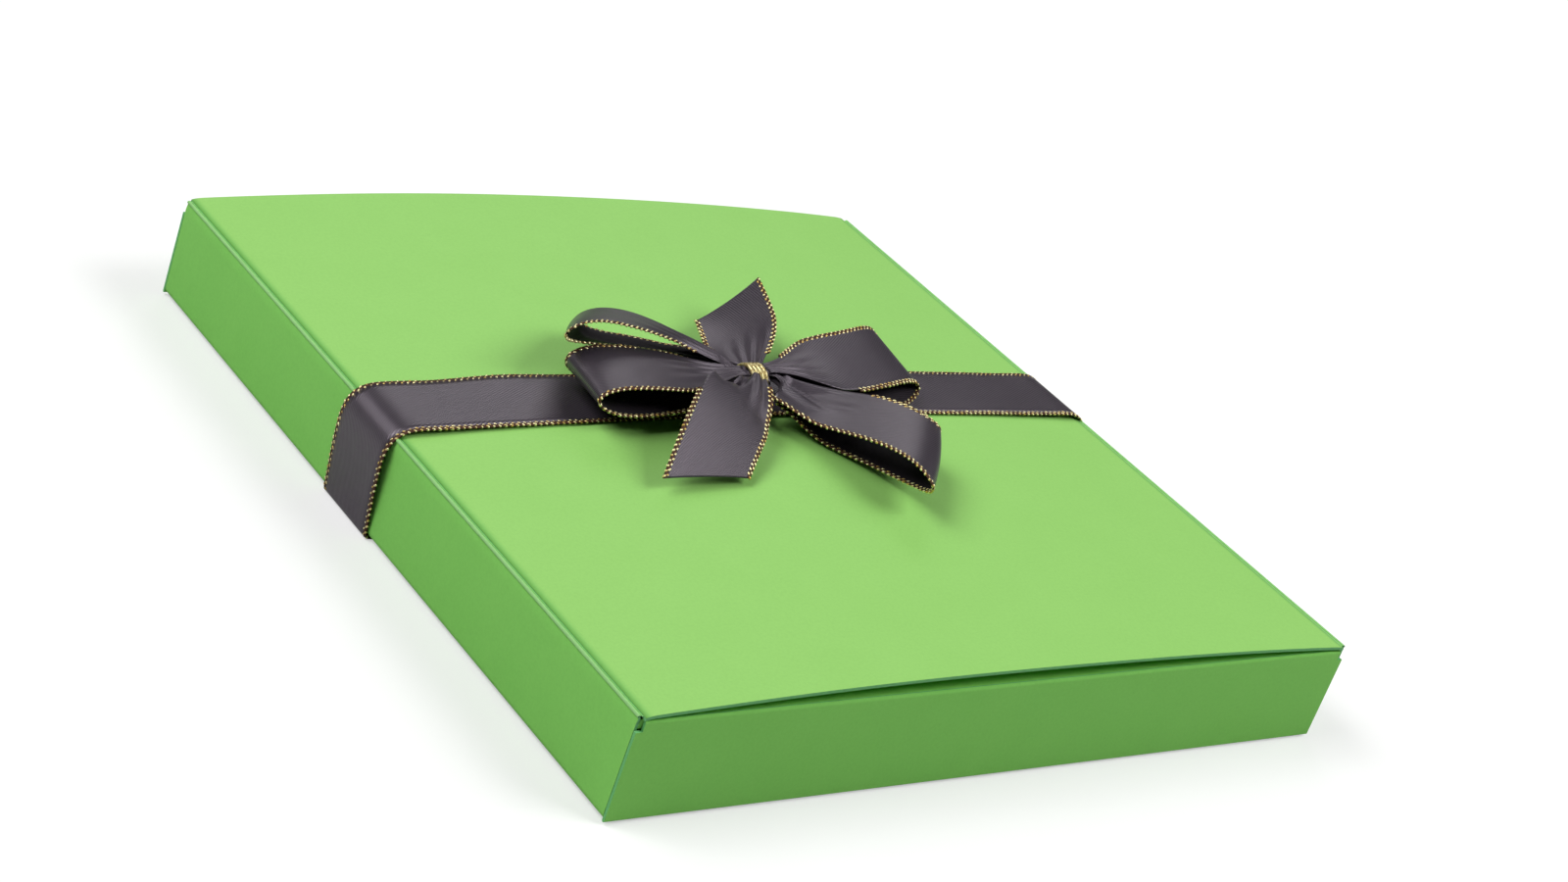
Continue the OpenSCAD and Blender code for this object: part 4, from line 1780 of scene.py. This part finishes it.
@dataclass
class Bow:
    """Ready-tied bow: four loops, two tails, the gathered waist, its binding and the glue dot.

    Attributes:
        knot: Middle of the knot.
        waist_r: Half of the waist's thickness.
        waist_l: Length of the waist.
        waist_x: Place of the waist's middle from the knot's.
        waist_low: Depth of waist and binding below the knot's middle.
        flare: Widening of the waist at its ends.
        flare_power: Power with which that widening comes in.
        folds: Lengthwise folds of the waist.
        fold_share: Depth of those folds, as a share of the waist.
        waist_rows: Rings of points along the waist.
        waist_cols: Points of each ring.
        cord_r: Half of the cord's thickness.
        coil_shares: Shares of waist_r and cord_r that add up to the radius of the cord's coil.
        turns: Turns of the cord.
        pitch: Step of the cord from turn to turn.
        binding_x: Place of the binding's middle from the knot's.
        lay: Twists of the cord's two strands in a turn.
        strand: Share of the cord's thickness between its strands.
        turn_rings: Rings of points in a turn of the cord.
        cord_sides: Points of each ring.
        edge: Stitching of the strips' edges.
        strips: Loops and tails, once they are built.
        pieces: All new pieces, once they are built.
    """

    knot: tuple[float, float, float] = (-0.5, 5.0, 25.5)
    waist_r: float = 2.1
    waist_l: float = 4.6
    waist_x: float = -0.9
    waist_low: float = 1.1
    flare: float = 0.35
    flare_power: int = 4
    folds: int = 9
    fold_share: float = 0.07
    waist_rows: int = 25
    waist_cols: int = 72
    cord_r: float = 0.4
    coil_shares: tuple[float, float] = (1.08, 0.9)
    turns: int = 4
    pitch: float = 0.88
    binding_x: float = -1.0
    lay: int = 9
    strand: float = 0.86
    turn_rings: int = 72
    cord_sides: int = 10
    edge: GoldEdge = field(default_factory=GoldEdge)
    strips: list[BowStrip] = field(default_factory=list)
    pieces: list[bpy.types.Object] = field(default_factory=list)

    def cut_strips(self) -> list[BowStrip]:
        """The four loops and two tails, still to be built.

        Returns:
            The strips, loops first.
        """
        return [
            Loop(name="upper_left_loop", side=Side.LEFT, swing=31.6, swing_under=34.6, bend=-13.9, seat=-0.2,
                 reach=35.3, skew=-3.7, height=6.0, lift=5.7, tilt=-16.5, tilt_under=-18.6, gather=21.1,
                 swing_l=5.0, tilt_l=11.2, cup=0.9, roll=1.3, lag=(0.25, 0.0), gold_from=(12.0, 8.0)),
            Loop(name="lower_left_loop", side=Side.LEFT, swing=-6.7, swing_under=-8.8, bend=3.6, seat=0.3,
                 reach=38.7, skew=-1.6, height=5.0, lift=0.7, tilt=-1.3, tilt_under=-3.7, gather=21.3,
                 cup=0.4, gold_from=(16.0, 24.0)),
            Loop(name="upper_right_loop", side=Side.RIGHT, swing=-1.9, swing_under=-5.7, bend=9.9, seat=0.8,
                 reach=34.7, height=3.2, lift=-0.7, tilt=11.2, tilt_under=15.4, gather=13.4, root=1.6,
                 gold_from=(19.0, 7.0)),
            Loop(name="lower_right_loop", side=Side.RIGHT, swing=-57.1, swing_under=-51.0, bend=-12.3,
                 seat=-3.4, reach=37.0, skew=-4.5, height=4.8, lift=10.2, tilt=7.1, tilt_under=14.8,
                 gather=21.0, root=1.6, swing_l=4.5, drop=-3.2, drop_l=15.0, lag=(-0.8, -0.25),
                 gold_from=(9.0, 20.0), dents=(Dent(8.5, 0.4, 1.3, 4.5, 0.25),)),
            Tail(name="near_tail", side=Side.LEFT, swing=-43.5, bend=-1.5, seat=2.3, ends=(33.5, 46.3),
                 climb=-7.9, hump=4.6, tilt=29.3, gather=19.2, rows=120, swing_l=3.0, drop=2.6,
                 tilt_from=9.0, tilt_l=11.0, lag=(0.1, 0.15), gold_from=(11.5, 27.5),
                 dents=(Dent(10.2, 0.42, 3.6, 2.8, 0.28), Dent(7.6, -0.2, -0.9, 2.6, 0.25),
                        Dent(12.5, 1.1, 3.6, 5.0, 0.6))),
            Tail(name="far_tail", side=Side.RIGHT, swing=66.0, bend=7.2, seat=-2.2, ends=(27.7, 18.1),
                 climb=6.1, hump=-0.8, tilt=-11.6, gather=13.6, rows=70, root=1.2, swing_l=5.0,
                 lag=(0.4, -0.5), gold_from=(10.5, 9.5)),
        ]

    def waist(self) -> bpy.types.Object:
        """Gathered satin under the binding, with lengthwise folds.

        Returns:
            The waist, which stands for the CAD waist.
        """
        middle = np.array(self.knot) + [self.waist_x, 0.0, -self.waist_low]
        half = self.waist_l / 2
        x = np.linspace(-half, half, self.waist_rows)[:, None]
        a = np.linspace(0, 2 * math.pi, self.waist_cols, endpoint=False)
        widened = self.waist_r + self.flare * (np.abs(x) / half) ** self.flare_power
        r = widened * (1 + self.fold_share * np.cos(self.folds * a))
        grid = np.stack([np.broadcast_to(x, r.shape), r * np.cos(a), r * np.sin(a)], -1) + middle
        points = np.concatenate([grid.reshape(-1, 3), middle + [[-half, 0, 0], [half, 0, 0]]])
        left, right = r.size, r.size + 1
        last = r.size - self.waist_cols
        faces = tube_faces(self.waist_rows, self.waist_cols)
        following = [(k, (k + 1) % self.waist_cols) for k in range(self.waist_cols)]
        faces += [(left, k, after) for k, after in following]
        faces += [(right, last + after, last + k) for k, after in following]
        uv = np.zeros((len(points), 2))
        uv[:r.size] = np.stack(np.broadcast_arrays(x, a * self.waist_r), -1).reshape(-1, 2)
        waist = make_mesh("bow_waist_satin", points, faces, None, uv)
        attach(waist, Body.RIBBON, "bow_waist")
        return waist

    def binding(self) -> bpy.types.Object:
        """Gold cord wound round the waist, laid of two twisted strands.

        Returns:
            The cord, which stands for the CAD binding.
        """
        middle = np.array(self.knot) + [self.binding_x, 0.0, -self.waist_low]
        share = np.linspace(0, 1, self.turns * self.turn_rings + 1)[:, None]
        a = -math.pi / 2 + 2 * math.pi * self.turns * share
        b = np.linspace(0, 2 * math.pi, self.cord_sides, endpoint=False)
        r = self.cord_r * (self.strand + (1 - self.strand) * np.abs(np.cos(b - a * self.lay)))
        coil = self.waist_r * self.coil_shares[0] + self.cord_r * self.coil_shares[1]
        x = self.pitch * self.turns * (share - 0.5) + np.cos(b) * r
        away = coil + np.sin(b) * r
        grid = np.stack([x, away * np.cos(a), away * np.sin(a)], -1) + middle
        faces = turned_over(tube_faces(len(share), self.cord_sides))
        first_end = tuple(range(self.cord_sides))
        faces += [first_end[::-1], tuple(r.size - self.cord_sides + k for k in first_end)]
        cord = make_mesh("binding_cord_gold", grid.reshape(-1, 3), faces)
        attach(cord, Body.RIBBON, "binding_cord")
        return cord

    def build(self) -> None:
        """Makes the strips, the waist and the binding."""
        self.strips = self.cut_strips()
        for strip in self.strips:
            strip.build(np.array(self.knot), self.edge)
            self.pieces += strip.pieces
        self.pieces += [self.waist(), self.binding()]

    def dress(self, looks: Finishes) -> None:
        """Gives every piece of the bow its finish.

        Args:
            looks: Shared materials.
        """
        for strip in self.strips:
            strip.dress(looks, self.edge)
        waist, cord = self.pieces[-2:]
        put_on(waist, looks.satin)
        put_on(cord, looks.gold_cord)
        set_finish("glue_dot", looks.glue)


@dataclass(frozen=True)
class Lamp:
    """Soft square lamp that faces the box.

    Attributes:
        name: Lamp name.
        azimuth: Direction of the lamp from the box, from X towards Y, in degrees.
        elevation: Its height angle in degrees.
        size: Side of the square in metres.
        power: Power in watts.
        distance: Distance from the box in metres.
    """

    name: str
    azimuth: float
    elevation: float
    size: float
    power: float
    distance: float = 1.2

    def build(self) -> None:
        """Hangs the lamp."""
        data = bpy.data.lights.new(self.name, "AREA")
        data.shape = "SQUARE"
        data.size = self.size
        data.energy = self.power
        lamp = bpy.data.objects.new(self.name, data)
        az, el = math.radians(self.azimuth), math.radians(self.elevation)
        towards = Vector((math.cos(az) * math.cos(el), math.sin(az) * math.cos(el), math.sin(el)))
        lamp.location = towards * self.distance
        lamp.rotation_euler = (-lamp.location).to_track_quat("-Z", "Y").to_euler()
        bpy.context.scene.collection.objects.link(lamp)


@dataclass
class Studio:
    """Camera at the photograph's angle, a white floor and soft light.

    Attributes:
        camera_at: Place of the camera.
        azimuth: Turn of the view from the Y axis in degrees, negative towards X.
        elevation: Downward angle of the camera in degrees.
        roll: Roll of the camera in degrees.
        lens: Focal length in millimetres.
        sensor: Sensor width in millimetres.
        clip_start: Nearest distance that the camera sees, in metres.
        floor_size: Side of the floor in metres.
        floor_greys: Reflected share of the floor, between which it is mottled.
        floor_mottle: Scale of that mottling, to the metre.
        glow_reach: Distances from the box, in metres, between which the floor's glow rises.
        glow: Strength of the glow, which only the camera sees, at those distances.
        sky: Strength of the light from all round.
        lamps: Soft lamps.
    """

    camera_at: tuple[float, float, float] = (-322.35, -344.70, 235.93)
    azimuth: float = -43.642
    elevation: float = 24.906
    roll: float = 20.164
    lens: float = 68.885
    sensor: float = 36.0
    clip_start: float = 0.01
    floor_size: float = 6.0
    floor_greys: tuple[float, float] = (0.54, 0.56)
    floor_mottle: float = 30.0
    glow_reach: tuple[float, float] = (0.25, 1.2)
    glow: tuple[float, float] = (0.46, 1.0)
    sky: float = 0.03
    lamps: tuple[Lamp, ...] = (
        Lamp("left_softbox", 168.0, 50.0, 0.6, 7.0),
        Lamp("far_left_softbox", 135.0, 50.0, 0.6, 3.7),
        Lamp("near_right_softbox", 315.0, 50.0, 0.6, 8.2),
        Lamp("far_panel", 58.0, 34.0, 0.4, 1.35),
        Lamp("right_panel", -8.0, 37.0, 0.4, 1.5),
    )

    def camera(self) -> None:
        """Sets the scene's camera."""
        az, el, roll = (math.radians(a) for a in (self.azimuth, self.elevation, self.roll))
        ahead = Vector((-math.sin(az) * math.cos(el), math.cos(az) * math.cos(el), -math.sin(el)))
        level = Vector((math.cos(az), math.sin(az), 0.0))
        right = level * math.cos(roll) + level.cross(ahead) * math.sin(roll)
        up = right.cross(ahead)
        data = bpy.data.cameras.new("photo_camera")
        data.lens = self.lens
        data.sensor_width = self.sensor
        data.clip_start = self.clip_start
        camera = bpy.data.objects.new("photo_camera", data)
        turned = Matrix((right, up, -ahead)).transposed().to_4x4()
        camera.matrix_world = Matrix.Translation(Vector(self.camera_at) * MM) @ turned
        bpy.context.scene.collection.objects.link(camera)
        bpy.context.scene.camera = camera

    def floor_finish(self) -> bpy.types.Material:
        """Floor that looks white to the camera and keeps the box's shadow.

        Returns:
            The material.
        """
        t = new_material("floor_white")
        place = t.place()
        greys = [(grey, grey, grey, 1.0) for grey in self.floor_greys]
        matte = t.add("BsdfDiffuse")
        t.link(t.mix(t.noise(place, Scale=self.floor_mottle), *greys), matte.inputs["Color"])
        away = t.add("VectorMath", operation="LENGTH")
        t.link(place, away.inputs[0])
        (near, far), (low, high) = self.glow_reach, self.glow
        rise = t.add("MapRange", From_Min=near, From_Max=far, To_Min=low, To_Max=high)
        t.link(away.outputs["Value"], rise.inputs["Value"])
        glow = t.add("Emission")
        t.link(rise.outputs[0], glow.inputs["Strength"])
        none = t.add("Emission", Strength=0.0)
        both = t.add("AddShader")
        t.link(matte.outputs[0], both.inputs[0])
        t.link(t.seen(none.outputs[0], glow.outputs[0]), both.inputs[1])
        return t.finish(both.outputs[0])

    def floor(self) -> None:
        """Lays the floor."""
        half = self.floor_size / 2 / MM
        corners = np.array([(-half, -half, 0), (half, -half, 0), (half, half, 0), (-half, half, 0)], float)
        floor = make_mesh("floor", corners, [(0, 1, 2, 3)])
        put_on(floor, self.floor_finish())

    def light(self) -> None:
        """Sets white surroundings, faint as a light, and hangs the soft lamps."""
        t = NodeTree(bpy.data.worlds.new("studio_white"))
        faint = t.add("Background", Color=WHITE, Strength=self.sky)
        white = t.add("Background", Color=WHITE, Strength=1.0)
        bpy.context.scene.world = t.finish(t.seen(faint.outputs[0], white.outputs[0]))
        for lamp in self.lamps:
            lamp.build()

    def build(self) -> None:
        """Sets up camera, floor and light."""
        bpy.context.scene.view_settings.view_transform = "Standard"
        self.camera()
        self.floor()
        self.light()


def main() -> None:
    """Builds the dressed gift box in order and reports its pieces."""
    logging.basicConfig(level=logging.INFO, format="%(name)s: %(message)s")
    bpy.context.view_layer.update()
    Studio().build()
    carton = Carton()
    looks = Finishes.make(carton)
    carton.build()
    carton.dress(looks)
    band = RibbonBand()
    band.build(carton)
    band.dress(looks)
    bow = Bow()
    bow.build()
    bow.dress(looks)
    for assembly in (carton, band, bow):
        for piece in assembly.pieces:
            LOG.info("%s: %s, %d faces", type(assembly).__name__, piece.name, len(piece.data.polygons))


if __name__ == "__main__":
    main()
